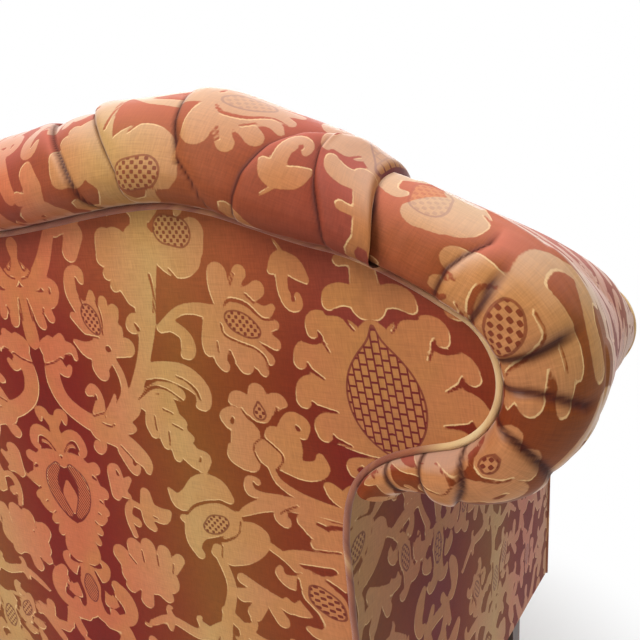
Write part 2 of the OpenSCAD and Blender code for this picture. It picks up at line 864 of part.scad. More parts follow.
module arm_facing(right) {
    inset = facing_welt_in + welt_r + fit;
    n = len(facing_shape);
    points = [for (i = [0:n - 1]) facing_shape[i] - inset * outward(facing_shape, i)];
    color("firebrick") side(right)
        translate([0, facing_back_y, 0]) rotate([90, 0, 0]) linear_extrude(facing_t) polygon(points);
}

module arm_facing_welts() {
    points = [
        for (i = [0:len(facing_shape) - 1])
            let (p = facing_shape[i] - facing_welt_in * outward(facing_shape, i))
            [p[0], p[1], 0]
    ];
    color("goldenrod") for (right = [false, true]) side(right)
        translate([0, facing_back_y - welt_r, 0]) rotate([90, 0, 0]) tube(points, welt_r, 6);
}

// Loose cushions

cushion_gap = 1.5;
cushion_z = seat_z + fit;
seam_low = cushion_z + cushion_crown;
seam_high = cushion_z + cushion_h;
zip_z = (seam_low + seam_high) / 2;
zip_s = (zip_z - seat_z) / (arm_line + crest_v(0) - seat_z);
cushion_back_y = layer_y(zip_z, pad_front(0, zip_s)) - cushion_room;
cushion_half_w = (half_seat - cushion_gap) / 2;
cushion_half_d = (cushion_back_y - border_front_y) / 2;
cushion_x = half_seat / 2;
cushion_y = (cushion_back_y + border_front_y) / 2;

// Plan of a cushion, drawn in between its corners, but straight along the zip
function cushion_plan(inset, z) =
    let (r = cushion_corner_r - inset / 2)
    [
        for (k = [0:3])
            let (along = (k % 2 == 0 ? cushion_half_w : cushion_half_d) - inset)
            let (across = (k % 2 == 0 ? cushion_half_d : cushion_half_w) - inset)
            let (pull = k == 2 ? 0 : cushion_pull)
            for (p = concat(
                [for (s = [-1:0.5:1]) [s * (along - r), -across + pull * (1 - s * s)]],
                [for (a = [-60, -30]) [along - r + r * cos(a), -across + r + r * sin(a)]]
            ))
                [
                    cushion_x + p[0] * cos(90 * k) - p[1] * sin(90 * k),
                    cushion_y + p[0] * sin(90 * k) + p[1] * cos(90 * k), z
                ]
    ];

// A cushion's ring shrunk about its middle, on the crown
function crown_ring(scale, z) = [
    for (p = cushion_plan(0, z))
        [mix(cushion_x, p[0], scale), mix(cushion_y, p[1], scale), z]
];

// The groove in which a welt lies, and the lips that roll over on both sides of it
groove_room = 3.75;
lip = 3;
lip_h = 4.8;

// The three rings that a cushion's side has about the welt at the height z
function welt_rings(z) = [
    cushion_plan(lip, z - lip_h), cushion_plan(welt_r + groove_room, z), cushion_plan(lip, z + lip_h)
];

module cushion(right) {
    crown = [[0.3, 1], [0.6, 0.93], [0.82, 0.74], [0.94, 0.5]];
    rings = concat(
        [for (c = crown) crown_ring(c[0], seam_low - lip_h - (cushion_crown - lip_h) * c[1])],
        welt_rings(seam_low),
        [cushion_plan(0, zip_z)],
        welt_rings(seam_high),
        [for (c = reversed(crown)) crown_ring(c[0], seam_high + lip_h + (cushion_crown - lip_h) * c[1])]
    );
    color("brown") side(right) difference() {
        loft(rings, flip = true);
        foam_block(fit);
    }
}

foam_inset = 9;

// The foam core, grown all round by the room that its hollow leaves
module foam_block(room) {
    low = seam_low - 2 - room;
    high = seam_high + 2 + room;
    translate([0, 0, low]) linear_extrude(high - low)
        polygon([for (p = cushion_plan(foam_inset - room, 0)) [p[0], p[1]]]);
}

module cushion_foam(right) {
    color("lightyellow") side(right) foam_block(0);
}

module cushion_welts(right) {
    color("goldenrod") side(right)
        for (z = [seam_low, seam_high])
            tube(cushion_plan(welt_r, z), welt_r, 6, closed = true);
}

tape_h = 24;
tape_t = 1;
tape_y = cushion_back_y + fit;
// The zip is closed, with its slider at the end by the middle of the sofa
slider_x = cushion_x - zip_l / 2 + 14;
slider_y = tape_y + tape_t + fit;
slider_w = 12;
slider_h = 9;
slider_t = 2.4;
pin_d = 1.6;
pin_y = slider_y + slider_t + 2.2;
pull_w = 5;
pull_l = 22;
pull_t = 1.2;
ear_t = 1.2;

module zip_tape(right) {
    color("brown") side(right)
        board([zip_l, tape_t, tape_h], [cushion_x - zip_l / 2, tape_y, zip_z - tape_h / 2]);
}

module zip_slider(right) {
    eye = pull_w / 2 + fit;
    color("goldenrod") side(right) translate([slider_x, 0, zip_z]) {
        board([slider_w, slider_t, slider_h], [-slider_w / 2, slider_y, -slider_h / 2]);
        for (x = [-eye - ear_t, eye])
            board([ear_t, pin_y + pin_d - slider_y - slider_t, 2 * pin_d], [x, slider_y + slider_t, -pin_d]);
        translate([-eye - ear_t / 2, pin_y, 0]) rotate([0, 90, 0]) cylinder(h = 2 * eye + ear_t, d = pin_d);
    }
}

module zip_pull(right) {
    eye_d = pin_d + 2 * fit;
    color("goldenrod") side(right)
        translate([slider_x - pull_w / 2, pin_y, zip_z]) rotate([0, 90, 0]) difference() {
        union() {
            cylinder(h = pull_w, d = eye_d + 1.8);
            translate([0, -pull_t / 2, 0]) cube([pull_l, pull_t, pull_w]);
        }
        translate([0, 0, -1]) cylinder(h = pull_w + 2, d = eye_d);
    }
}

rear_post(false);  // rear_post_left
rear_post(true);  // rear_post_right
crest_rail();
scroll_block(false);  // scroll_block_left
scroll_block(true);  // scroll_block_right
back_centre_stile();
back_tacking_rail();
back_webbing();
arm_post(false);  // arm_post_left
arm_post(true);  // arm_post_right
arm_board(false);  // arm_board_left
arm_board(true);  // arm_board_right
arm_tacking_rail(false);  // arm_tacking_rail_left
arm_tacking_rail(true);  // arm_tacking_rail_right
front_rail();
rear_rail();
side_rail(false);  // side_rail_left
side_rail(true);  // side_rail_right
corner_blocks();
corner_block_screws();
front_leg(false);  // front_leg_left
front_leg(true);  // front_leg_right
leg_glides();
seat_webbing();
seat_springs();
spring_twine();
seat_burlap();
deck_pad();
deck_cloth();
dust_cover();
front_border();
front_border_welt();
inside_back();
back_roll();
arm_end_roll(false);  // arm_end_roll_left
arm_end_roll(true);  // arm_end_roll_right
arm(false);  // arm_left
arm(true);  // arm_right
outside_arm(false);  // outside_arm_left
outside_arm(true);  // outside_arm_right
arm_facing(false);  // arm_facing_left
arm_facing(true);  // arm_facing_right
arm_facing_welts();
outside_back();
outside_back_welt();
cushion(false);  // cushion_left
cushion(true);  // cushion_right
cushion_foam(false);  // cushion_foam_left
cushion_foam(true);  // cushion_foam_right
cushion_welts(false);  // cushion_welts_left
cushion_welts(true);  // cushion_welts_right
zip_tape(false);  // zip_tape_left
zip_tape(true);  // zip_tape_right
zip_slider(false);  // zip_slider_left
zip_slider(true);  // zip_slider_right
zip_pull(false);  // zip_pull_left
zip_pull(true);  // zip_pull_right
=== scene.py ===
"""Camelback loveseat in woven damask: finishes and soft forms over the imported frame."""

import json
import logging
import math
from dataclasses import dataclass
from enum import Enum
from functools import cache

import bmesh
import bpy
import numpy as np
from mathutils import Matrix, Vector

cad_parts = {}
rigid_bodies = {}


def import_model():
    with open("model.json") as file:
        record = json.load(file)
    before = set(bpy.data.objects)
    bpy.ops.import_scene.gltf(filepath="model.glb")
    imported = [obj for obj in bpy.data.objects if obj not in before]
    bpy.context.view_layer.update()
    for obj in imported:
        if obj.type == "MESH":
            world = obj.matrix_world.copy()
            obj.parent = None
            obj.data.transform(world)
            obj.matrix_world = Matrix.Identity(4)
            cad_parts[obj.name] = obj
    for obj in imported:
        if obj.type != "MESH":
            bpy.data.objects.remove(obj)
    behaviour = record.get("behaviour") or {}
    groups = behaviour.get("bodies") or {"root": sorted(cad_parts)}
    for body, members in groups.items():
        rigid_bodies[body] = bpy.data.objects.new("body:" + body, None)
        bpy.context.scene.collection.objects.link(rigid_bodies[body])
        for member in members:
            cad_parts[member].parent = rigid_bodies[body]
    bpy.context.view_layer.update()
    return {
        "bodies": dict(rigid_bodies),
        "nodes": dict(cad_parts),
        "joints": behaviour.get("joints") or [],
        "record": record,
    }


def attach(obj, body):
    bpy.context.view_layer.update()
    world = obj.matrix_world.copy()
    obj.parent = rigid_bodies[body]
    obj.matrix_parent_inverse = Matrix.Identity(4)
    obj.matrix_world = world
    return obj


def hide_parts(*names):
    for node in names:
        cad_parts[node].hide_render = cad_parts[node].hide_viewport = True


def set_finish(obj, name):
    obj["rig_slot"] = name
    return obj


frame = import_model()
LOG = logging.getLogger("loveseat")
MM = 0.001

UPWARDS = np.array([0.0, 0.0, 1.0])

Array = np.ndarray
Colour = tuple[float, float, float, float]


def srgb(red: float, green: float, blue: float) -> Colour:
    """Turns an 8-bit screen colour into the linear colour that a shader takes.

    Args:
        red, green, blue: parts of the colour, 0 to 255.

    Returns:
        The linear colour with alpha 1.
    """
    parts = [part / 255.0 for part in (red, green, blue)]
    linear = [p / 12.92 if p <= 0.04045 else ((p + 0.055) / 1.055) ** 2.4 for p in parts]
    return (linear[0], linear[1], linear[2], 1.0)


def mix(start: Array | float, end: Array | float, share: Array | float) -> Array | float:
    """Returns the value that lies the given share of the way from start to end."""
    return start + (end - start) * share


def ease(share: Array) -> Array:
    """Returns the share turned into half a cosine wave, flat at both ends."""
    return 0.5 - 0.5 * np.cos(np.pi * np.clip(share, 0.0, 1.0))


def unit(vectors: Array) -> Array:
    """Returns the vectors scaled to length one."""
    return vectors / np.maximum(np.linalg.norm(vectors, axis=-1, keepdims=True), 1e-9)


# Sizes of the sofa


@dataclass(frozen=True)
class Shape:
    """Driving sizes of the sofa in millimetres and degrees, the same as in the part's source.

    Heights called v run up the leaning back from the arm line. A pair gives the rear and the front.
    """

    half_seat: float = 550.0
    rake: float = math.radians(10.0)
    arm_line: float = 690.0
    back_y: float = 312.0
    arm_front_y: float = -366.0
    dip_rise: float = 84.0
    hump_rise: float = 81.0
    dip_x: float = 300.0
    ear_in: float = 30.0
    ear_rise: float = 105.0
    shoulder_out: float = 100.0
    shoulder_rise: float = 75.0
    shoulder_slope: float = -0.21
    lobe_r: float = 50.0
    lobe_v: float = -8.0
    lobe_out: float = 162.0
    lobe_turns: tuple[float, float] = (58.0, -75.0)
    stem_out: float = 93.0
    stem_foot_out: float = 90.0
    stem_top_v: float = -150.0
    tail_pull: float = 1.35
    tail_out: float = 6.0
    tail_rise: float = 55.0
    roll_w: float = 77.0
    roll_behind: float = 28.0
    frame_front: float = 34.0
    pad_edge_w: float = 93.0
    pad_foot_gap: float = 7.0
    crown: float = 28.0
    leg_h: float = 215.0
    seat_z: float = 353.4
    scroll_r: tuple[float, float] = (103.0, 70.0)
    scroll_out: tuple[float, float] = (169.0, 154.0)
    scroll_rise: tuple[float, float] = (21.0, -75.0)
    arm_t: tuple[float, float] = (90.5, 111.0)
    arm_top_b: float = 110.0
    welt_r: float = 2.75

    @property
    def foot_v(self) -> float:
        """Height of the lower edge of the back, up its lean from the arm line."""
        return (self.leg_h - self.arm_line) / math.cos(self.rake)

    @property
    def pad_foot_v(self) -> float:
        """Height of the inside back's foot over the deck, up its lean from the arm line."""
        return (self.seat_z + self.pad_foot_gap - self.arm_line) / math.cos(self.rake)

    def lobe_point(self, degrees: Array | float) -> Array:
        """Returns points on the round end of the back's outline at the given angles."""
        angle = np.radians(degrees)
        x = self.half_seat + self.lobe_out + self.lobe_r * np.cos(angle)
        return np.stack([x, self.lobe_v + self.lobe_r * np.sin(angle)], axis=-1)

    def crest_v(self, x: Array) -> Array:
        """Height of the crest over the arm line: cubic stretches through hump, dip, ear and shoulder.

        Args:
            x: distances from the middle in millimetres.

        Returns:
            The heights, up the lean of the back.
        """
        end = self.lobe_point(self.lobe_turns[0])
        marks = [
            (0.0, self.dip_rise + self.hump_rise, 0.0),
            (self.dip_x, self.dip_rise, 0.0),
            (self.half_seat - self.ear_in, self.ear_rise, 0.0),
            (self.half_seat + self.shoulder_out, self.shoulder_rise, self.shoulder_slope),
            (float(end[0]), float(end[1]), -1.0 / math.tan(math.radians(self.lobe_turns[0]))),
        ]
        x = np.abs(np.asarray(x, dtype=float))
        height = np.full_like(x, marks[0][1])
        for (x0, v0, s0), (x1, v1, s1) in zip(marks, marks[1:]):
            d = x1 - x0
            t = np.clip((x - x0) / d, 0.0, 1.0)
            cubic = (2 * t**3 - 3 * t**2 + 1) * v0 + (t**3 - 2 * t**2 + t) * d * s0
            cubic = cubic + (3 * t**2 - 2 * t**3) * v1 + (t**3 - t**2) * d * s1
            height = np.where(x >= x0, cubic, height)
        return height

    def half_outline(self) -> Array:
        """Outline of the back from the middle of the crest round one lobe to the foot.

        The crest ends in an arc, the arc runs on into a Bezier curve, the tail, and that into the stem.
        """
        first, last = self.lobe_turns
        x = np.linspace(0.0, float(self.lobe_point(first)[0]), 240)
        crest = np.stack([x, self.crest_v(x)], axis=-1)
        lobe = self.lobe_point(np.linspace(first, last, 60))
        back = np.array([math.sin(math.radians(last)), -math.cos(math.radians(last))])
        stem = np.array([self.half_seat + self.stem_out, self.stem_top_v])
        a, b = lobe[-1], lobe[-1] + self.tail_pull * self.lobe_r * back
        c = stem + np.array([self.tail_out, self.tail_rise])
        t = np.linspace(0.0, 1.0, 60)[:, None]
        tail = (1 - t) ** 3 * a + 3 * (1 - t) ** 2 * t * b + 3 * (1 - t) * t**2 * c + t**3 * stem
        foot = np.array([self.half_seat + self.stem_foot_out, self.foot_v])
        stretch = mix(stem, foot, np.linspace(0.0, 1.0, 80)[:, None])
        return np.concatenate([crest, lobe[1:], tail[1:], stretch[1:]])

    def from_back(self, x: Array, v: Array, w: Array) -> Array:
        """World points in millimetres of places on the leaning back.

        Args:
            x: distances across, v: distances up the lean from the arm line, w: distances forward.

        Returns:
            Points with the same shape as x and a last axis of three.
        """
        s, c = math.sin(self.rake), math.cos(self.rake)
        x, v, w = np.broadcast_arrays(x, v, w)
        return np.stack([x, self.back_y + v * s - w * c, self.arm_line + v * c + w * s], axis=-1)

    def layer_y(self, z: Array, w: float) -> Array:
        """World Y of the layer w of the leaning back at the height z."""
        return self.back_y - w / math.cos(self.rake) + (z - self.arm_line) * math.tan(self.rake)


SHAPE = Shape()

# The woven pattern


class Mark(Enum):
    """What a stroke of the pattern draws."""

    MOTIF = 0
    SLIT = 1
    EYE = 2


@dataclass
class Stroke:
    """A tapered line of the pattern, with round ends."""

    points: Array
    radii: Array
    mark: Mark = Mark.MOTIF


def curve(points: Array, count: int = 14) -> Array:
    """A smooth line through points: a Catmull-Rom spline.

    Args:
        points: at least two points, each a row of any width.
        count: number of points returned.

    Returns:
        Evenly spread points on the spline.
    """
    p = np.asarray(points, dtype=float)
    p = np.concatenate([[2 * p[0] - p[1]], p, [2 * p[-1] - p[-2]]])
    t = np.linspace(0.0, len(p) - 3 - 1e-6, count)
    i = t.astype(int)
    f = (t - i)[:, None]
    a, b, c, d = p[i], p[i + 1], p[i + 2], p[i + 3]
    return 0.5 * (2 * b + (c - a) * f + (2 * a - 5 * b + 4 * c - d) * f**2 + (3 * b - a - 3 * c + d) * f**3)


Knot = tuple[float, float, float]


class Drawing:
    """A list of strokes, with the shapes that the damask is drawn from.

    A knot holds x, y and the stroke's half width there, in millimetres.
    """

    def __init__(self) -> None:
        """Starts with no strokes."""
        self.strokes: list[Stroke] = []

    def stroke(self, knots: Array, mark: Mark) -> None:
        """Adds a smooth stroke through knots."""
        line = curve(knots, 5 * len(knots) - 3)
        self.strokes.append(Stroke(line[:, :2], np.maximum(line[:, 2], 0.2), mark))

    def motif(self, *knots: Knot) -> None:
        """Adds a stroke of a motif's figure."""
        self.stroke(np.array(knots), Mark.MOTIF)

    def slit(self, *knots: Knot) -> None:
        """Adds a stroke that cuts a figure down to the ground."""
        widened = np.array(knots, dtype=float)
        widened[:, 2] = np.maximum(widened[:, 2], 0.9)
        self.stroke(widened, Mark.SLIT)

    def eye(self, *knots: Knot) -> None:
        """Adds a stroke that is filled with the lattice."""
        self.stroke(np.array(knots), Mark.EYE)

    def figure(self, knots: list[Knot], at: Knot, degrees: float, side: float, mark: Mark) -> None:
        """Adds a stroke whose knots are given in a leaf's own frame.

        Args:
            knots: the stroke about the leaf's foot, for a leaf of length 1 along +x.
            at: the place of the foot and the length of the leaf.
            degrees: direction in which the leaf points.
            side: 1, or -1 for the mirror image.
            mark: what the stroke draws.
        """
        k = np.array(knots) * at[2]
        a = math.radians(degrees)
        x = at[0] + k[:, 0] * math.cos(a) - side * k[:, 1] * math.sin(a)
        y = at[1] + k[:, 0] * math.sin(a) + side * k[:, 1] * math.cos(a)
        self.stroke(np.stack([x, y, k[:, 2]], axis=-1), mark)

    def petal(self, at: Knot, degrees: float, side: float = 1.0) -> None:
        """Adds a petal: narrow at its foot, round at its tip, bent to one side."""
        self.figure([(0, 0, 0.09), (0.4, 0.04, 0.17), (0.78, 0.14, 0.2)], at, degrees, side, Mark.MOTIF)

    def comma(self, at: Knot, degrees: float, side: float = 1.0) -> None:
        """Adds a comma leaf: it swells outwards, then its tip curls back under it."""
        leaf = [(0, 0, 0.14), (0.3, 0.1, 0.23), (0.62, 0.08, 0.23), (0.86, -0.12, 0.16), (0.8, -0.3, 0.09)]
        under = [(0.66, -0.17, 0.05), (0.5, -0.15, 0.04), (0.2, -0.24, 0.02)]
        self.figure(leaf, at, degrees, side, Mark.MOTIF)
        self.figure(under, at, degrees, side, Mark.SLIT)

    def fan(self, at: Knot, degrees: float, spread: float, count: int) -> None:
        """Adds a fan of petals that bend outwards, the middle ones longest."""
        for i in range(count):
            side = 2.0 * i / (count - 1) - 1.0
            reach = at[2] * (1.0 - 0.22 * abs(side) ** 1.5)
            self.petal((at[0], at[1], reach), degrees + side * spread, math.copysign(1.0, side))

    def leaf(self, *knots: Knot, lobes: int = 3, side: float = 1.0) -> None:
        """Adds a long leaf: a rib through knots with commas down both sides, and a curled tip.

        Args:
            knots: the rib from foot to tip, with the reach of the lobes in place of a half width.
            lobes: number of lobes on a side.
            side: side to which the tip curls, 1 or -1.
        """
        rib = curve(np.array(knots), 6 * lobes + 2)
        self.stroke(rib * np.array([1.0, 1.0, 0.3]), Mark.MOTIF)
        way = np.gradient(rib[:, :2], axis=0)
        heading = np.degrees(np.arctan2(way[:, 1], way[:, 0]))
        for k in range(lobes):
            i = 6 * k + 2
            for s in (-1.0, 1.0):
                self.comma(tuple(rib[i]), heading[i] + s * 58, -s)
        self.comma(tuple(rib[-1]), heading[-1], side)

    def pod(self, at: Knot, degrees: float) -> None:
        """Adds an open fruit: a lattice eye between two slits, and hooked petals all round."""
        body = [(0.1, 0, 0.16), (0.42, 0, 0.24), (0.8, 0, 0.12)]
        self.figure(body, at, degrees, 1.0, Mark.MOTIF)
        self.figure([(0.26, 0, 0.08), (0.42, 0, 0.14), (0.58, 0, 0.09)], at, degrees, 1.0, Mark.EYE)
        a = math.radians(degrees)
        for side in (-1.0, 1.0):
            for along, turn, reach in ((0.5, 24, 0.6), (0.3, 58, 0.62), (0.15, 104, 0.52)):
                x = at[0] + along * at[2] * math.cos(a)
                y = at[1] + along * at[2] * math.sin(a)
                self.comma((x, y, reach * at[2]), degrees + side * turn, -side)
            slit = [(0.1, 0.16, 0.02), (0.35, 0.25, 0.04), (0.62, 0.2, 0.04), (0.8, 0.26, 0.01)]
            self.figure(slit, at, degrees, side, Mark.SLIT)


# The layout below is set out in millimetres on the outside back: x is the distance from the axis of
# the artichoke to the axis of the heart, y is the height over the arm line.
HALF_REPEAT = 343.0
RISE_REPEAT = 520.0
RISE_START = -330.0


def artichoke(d: Drawing) -> None:
    """Draws the artichoke on its axis: a lattice pear, its crown and five hooked leaves."""
    d.motif((0, 80, 8), (1, 57, 8.5), (2, 37.5, 11))
    d.motif((1, 15, 11), (11, -10, 21), (13.5, -30, 23), (8.5, -50, 19), (1, -65, 6.5))
    d.motif((10, 66, 3.5), (16, 66, 4))
    d.motif((10, 42, 7.5), (18, 43.5, 8), (25, 41.5, 7.5), (29, 37, 5))
    d.slit((28, 56.5, 2.5), (17, 55.5, 2.4), (11.5, 54.5, 1))
    d.motif((21, 15, 12.5), (33.5, 19.5, 11.5), (41, 21, 10.5), (47, 16, 4.5))
    d.motif((26, -7.5, 15), (43.5, -5, 14), (54, -2, 12), (62, -6.5, 6))
    d.motif((28.5, -27.5, 15), (46, -30, 13.5), (57, -28.5, 12), (64.5, -36, 6.5))
    d.motif((23.5, -50, 15), (38.5, -55, 12.5), (49, -55, 10.5), (53, -61, 6))
    d.motif((1, -70, 3), (18.5, -67.5, 5), (33.5, -60, 10))
    d.motif((26, -35, 15), (26, -15, 15))
    d.slit((32, 30, 1.5), (24, 30.5, 2), (19.5, 28, 1.5), (16.5, 23, 1), (13.5, 19, 0.5))
    d.slit((56, 9.5, 1), (47, 9, 2), (40.5, 12, 2), (41.5, 16.5, 1))
    d.slit((40, 12, 1), (35.5, 2, 0.5))
    d.slit((72, -12.5, 1), (62, -14, 1.5), (55.5, -11, 2), (56, -7, 1))
    d.slit((54.5, -11.5, 1.5), (44, -18, 0.5))
    d.slit((73, -44, 1), (63.5, -44.5, 1.5), (57, -40.5, 2.5), (58, -36.5, 1))
    d.slit((55.5, -40, 2), (39, -42.5, 1))
    d.slit((61.5, -68, 1), (52, -68.5, 1.5), (46, -65, 2), (46, -60.5, 1))
    d.slit((44.5, -63.5, 1.5), (33.5, -67, 0.5))
    d.eye(
        (0, 22.5, 1), (0, 12.5, 5), (0, 2.5, 11), (0, -10, 19.5), (0, -22.5, 26.5), (0, -32.5, 28),
        (0, -42.5, 24), (0, -55, 14.5), (0, -65, 5),
    )


def trefoil_leaf(d: Drawing) -> None:
    """Draws the three-lobed leaf beside the artichoke's crown."""
    d.motif((44, 52.5, 3), (51.5, 59.5, 7.5), (58.5, 63, 8), (68.5, 64, 8), (77.5, 58.5, 3))
    d.motif((67, 57.5, 6), (67.5, 45, 5.5), (63, 36.5, 6), (56, 36, 5.5), (54, 41, 3))
    d.motif((62, 69, 2), (71, 80, 1))
    d.slit((59, 38.5, 2), (58.5, 42.5, 1))


def pomegranate(d: Drawing) -> None:
    """Draws the open fruit between the two axes: an eye between two slits, petals all round."""
    d.motif((132, 24.5, 7), (151, 27.5, 5), (168.5, 24.5, 4), (186, 12, 4))
    d.motif((108.5, 17.5, 16.5), (121, 24.5, 12.5))
    d.motif((126, 31, 6), (127, 45, 8.5), (126, 55, 9))
    d.motif((116, 40, 6), (109, 52.5, 5.5), (106, 56.5, 6))
    d.motif((108.5, 36, 7.5), (96, 42.5, 6.5), (92, 45, 6.5))
    d.motif((121, 32, 3.5), (103.5, 31, 5.5), (88.5, 28, 5), (80.5, 32, 3))
    d.motif((96, 17.5, 7.5), (80, 19.5, 4))
    d.motif((96, 12.5, 6.5), (82, 5, 5))
    d.motif((103.5, 2.5, 6.5), (89, -7.5, 4.5))
    d.motif((126, 7.5, 4), (108.5, -2.5, 8), (97.5, -11, 6.5), (95.5, -17.5, 4))
    d.motif((121, 0, 6.5), (111.5, -13.5, 7.5))
    d.motif((131, 7.5, 8.5), (134, -10, 6), (131, -16, 5))
    d.motif((136, 17.5, 9.5), (143, 2.5, 6.5), (143.5, -4.5, 5.5))
    d.slit((81, 23.5, 1), (91, 23.5, 1), (104, 33.5, 1.5), (117.5, 36, 1.5), (124, 31, 1))
    d.slit((92, -14.5, 1), (93, -6.5, 1), (101, 0, 1), (113.5, 3.5, 1), (126.5, 8.5, 1), (129, 17, 1))
    d.slit((121, -12, 1), (124, -4, 1))
    d.slit((135, -5.5, 1), (135, 2.5, 1))
    d.slit((111, 55, 1), (115.5, 47, 1))
    d.slit((103.5, 41, 1), (96, 34.5, 1))
    d.eye((99, 13.5, 5), (104, 15.5, 7.5), (109, 18, 8.5), (114.5, 20, 8), (119, 22, 5.5))
    d.motif((188.5, 10, 4), (176, 12, 5), (165, 3.5, 6.5), (164, -6.5, 7), (169, -10.5, 3.5))
    d.slit((174, -3, 2), (172.5, 2, 2), (178.5, 5, 1), (188, 1, 1))


def main_stalk(d: Drawing) -> None:
    """Draws the thick stalk that carries the fruit, and the fruit above it."""
    d.motif(
        (196, 75, 17.5), (199, 45, 13), (202.5, 15, 9.5), (207.5, -5, 7), (217, -27.5, 6.5),
        (231, -52.5, 6.5),
    )
    d.motif((143.5, 85, 11), (156, 70, 18), (168.5, 65, 11.5), (181, 75, 10))
    d.motif((221, 75, 15), (216, 52.5, 12.5), (211, 35, 9))
    d.motif((231, 80, 10), (236.5, 65, 6.5))
    d.motif((226, 57.5, 7.5), (233.5, 52.5, 5.5))
    d.motif((221, 47.5, 6.5), (228.5, 42.5, 5))
    d.motif((208.5, 17.5, 3), (215.5, 15, 6), (219.5, 9.5, 5.5), (215, 6.5, 3))
    d.slit((171, 57.5, 1), (158.5, 46, 1), (143.5, 52.5, 1), (136.5, 67.5, 1))
    d.slit((193.5, 22.5, 1), (190, 40, 1), (191, 52.5, 1.5))
    d.eye((156, 85, 11), (168.5, 87.5, 11))
    d.slit((212.5, 7.5, 2), (215, 12, 1))


def trefoil_flower(d: Drawing) -> None:
    """Draws the small flower with the lattice eye, over its three-lobed foot."""
    d.motif((251, -10, 10), (228.5, -9, 8.5))
    d.motif((251, -15, 8.5), (263.5, -27.5, 9.5), (263, -33.5, 8.5))
    d.motif((253.5, -10, 8.5), (273.5, -15, 8), (288, -8, 2.5))
    d.motif((251, -2.5, 8.5), (239, 15, 6.5), (235.5, 22.5, 5.5))
    d.motif((253.5, 2.5, 8.5), (247, 22.5, 5.5), (245.5, 30, 4.5))
    d.motif((261, 15, 15), (258.5, 5, 11.5))
    d.motif((258.5, 27.5, 6.5), (257, 36, 3))
    d.motif((271, 20, 8.5), (279.5, 35, 7), (276.5, 50, 7), (267.5, 52.5, 6), (265, 46, 3))
    d.motif((271, 7.5, 8.5), (283.5, 15, 4))
    d.motif((248.5, -5, 5), (236, 2.5, 5), (233.5, 6.5, 4))
    d.slit((270.5, 43.5, 2), (271, 48.5, 1))
    d.slit((253.5, 0, 1), (251, 15, 1), (253.5, 30, 1))
    d.slit((269, 22.5, 1), (271, 32.5, 1))
    d.slit((258.5, -3, 1), (276, -1.5, 1))
    d.slit((250, -12, 3), (250.5, -12, 3))
    d.eye((259.5, 4.5, 4.5), (261, 8, 7), (263, 13, 9), (265, 18, 8), (266, 21.5, 5))
    d.motif((249, -17.5, 3.5), (241, -35, 4), (241, -50, 4), (250, -67.5, 6))


def c_scroll(d: Drawing) -> None:
    """Draws the scroll that the stalk runs into, with its leaves and curls."""
    d.motif(
        (325.5, -30, 9), (327.5, -50, 9.5), (320, -68, 9), (301, -81, 9), (281, -86.5, 9.5),
        (261, -85, 8.5), (243.5, -70, 7.5), (228.5, -54, 6.5),
    )
    d.motif((323.5, -27.5, 11), (310.5, -17, 8.5), (296, -16, 6), (292.5, -23, 3.5))
    d.motif((316, -15, 7.5), (306, -6.5, 5))
    d.motif((326, -17.5, 10), (321, -10, 5.5))
    d.motif((318.5, -27.5, 9), (311.5, -37.5, 5.5), (306.5, -38.5, 4), (302.5, -33.5, 3))
    d.motif((278.5, -75, 7.5), (273.5, -61.5, 5.5), (278.5, -52, 6), (286, -55, 4))
    d.motif((263.5, -75, 6.5), (253.5, -54, 1.5))
    d.slit((306, -23, 1), (297.5, -21, 1), (295, -27.5, 1))
    d.slit((308.5, -30, 1), (311.5, -25.5, 1), (321, -30, 1), (333.5, -33.5, 1))
    d.slit((278, -60, 2), (277.5, -56.5, 1))
    d.slit((271, -72.5, 1), (286, -78, 1))
    d.motif((283.5, -91, 10.5), (261, -96, 9.5), (246, -103, 10.5), (232, -113, 7.5), (230.5, -121.5, 4))
    d.motif((256, -107.5, 7.5), (252.5, -117.5, 5.5), (247, -124.5, 5), (242, -120.5, 3))
    d.motif((268.5, -85, 7.5), (246, -82.5, 7), (237.5, -82.5, 3))
    d.slit((261, -82.5, 1), (266, -85, 1), (276, -83.5, 1))
    d.slit((246, -118, 2), (247, -113, 1), (258.5, -102.5, 1))
    d.motif((283.5, -95, 3.5), (280.5, -105, 4), (287.5, -109.5, 6.5), (288.5, -105, 3.5))


def acanthus(d: Drawing) -> None:
    """Draws the long leaf that swings down from the stalk."""
    d.motif(
        (216, -30, 6), (196, -25.5, 7.5), (172.5, -28.5, 10), (158, -38, 8.5), (157, -49, 7),
        (162, -52.5, 3.5),
    )
    d.motif((223.5, -52.5, 3.5), (203.5, -41, 4.5), (188.5, -42.5, 6.5), (180.5, -45, 6))
    d.motif(
        (228.5, -55, 5.5), (206, -59, 11.5), (191, -72.5, 11.5), (189.5, -85, 11), (177, -100, 9.5),
        (169.5, -106.5, 6),
    )
    d.motif((169.5, -107.5, 6), (164, -99, 5), (169.5, -94.5, 3))
    d.motif((196, -55, 10), (190, -60, 5.5))
    d.motif((186, -70, 7.5), (181.5, -70, 4))
    d.motif((181, -82.5, 6.5), (176, -82.5, 3.5))
    d.motif((211, -62.5, 8.5), (216, -75, 7), (215, -83.5, 5))
    d.motif((203.5, -70, 7.5), (205, -85, 5), (203.5, -92.5, 4.5))
    d.motif((193.5, -85, 7.5), (193.5, -102.5, 4.5))
    d.slit((226, -54, 1), (208.5, -42, 1.5), (193.5, -42, 1), (178.5, -50, 1))
    d.slit((181, -29.5, 1), (171, -33, 1), (163, -40, 1.5), (160, -47.5, 1))
    d.slit((171, -102.5, 1.5), (169.5, -99, 1))
    d.slit((211.5, -67.5, 1), (212, -80, 1))
    d.slit((198.5, -80, 1), (200, -92.5, 1))
    d.slit((201, -60, 1), (191, -63, 1))
    d.slit((193.5, -72.5, 1), (183.5, -76, 1))
    d.motif((231, -50, 6), (233.5, -62.5, 7.5), (246, -72.5, 7.5))


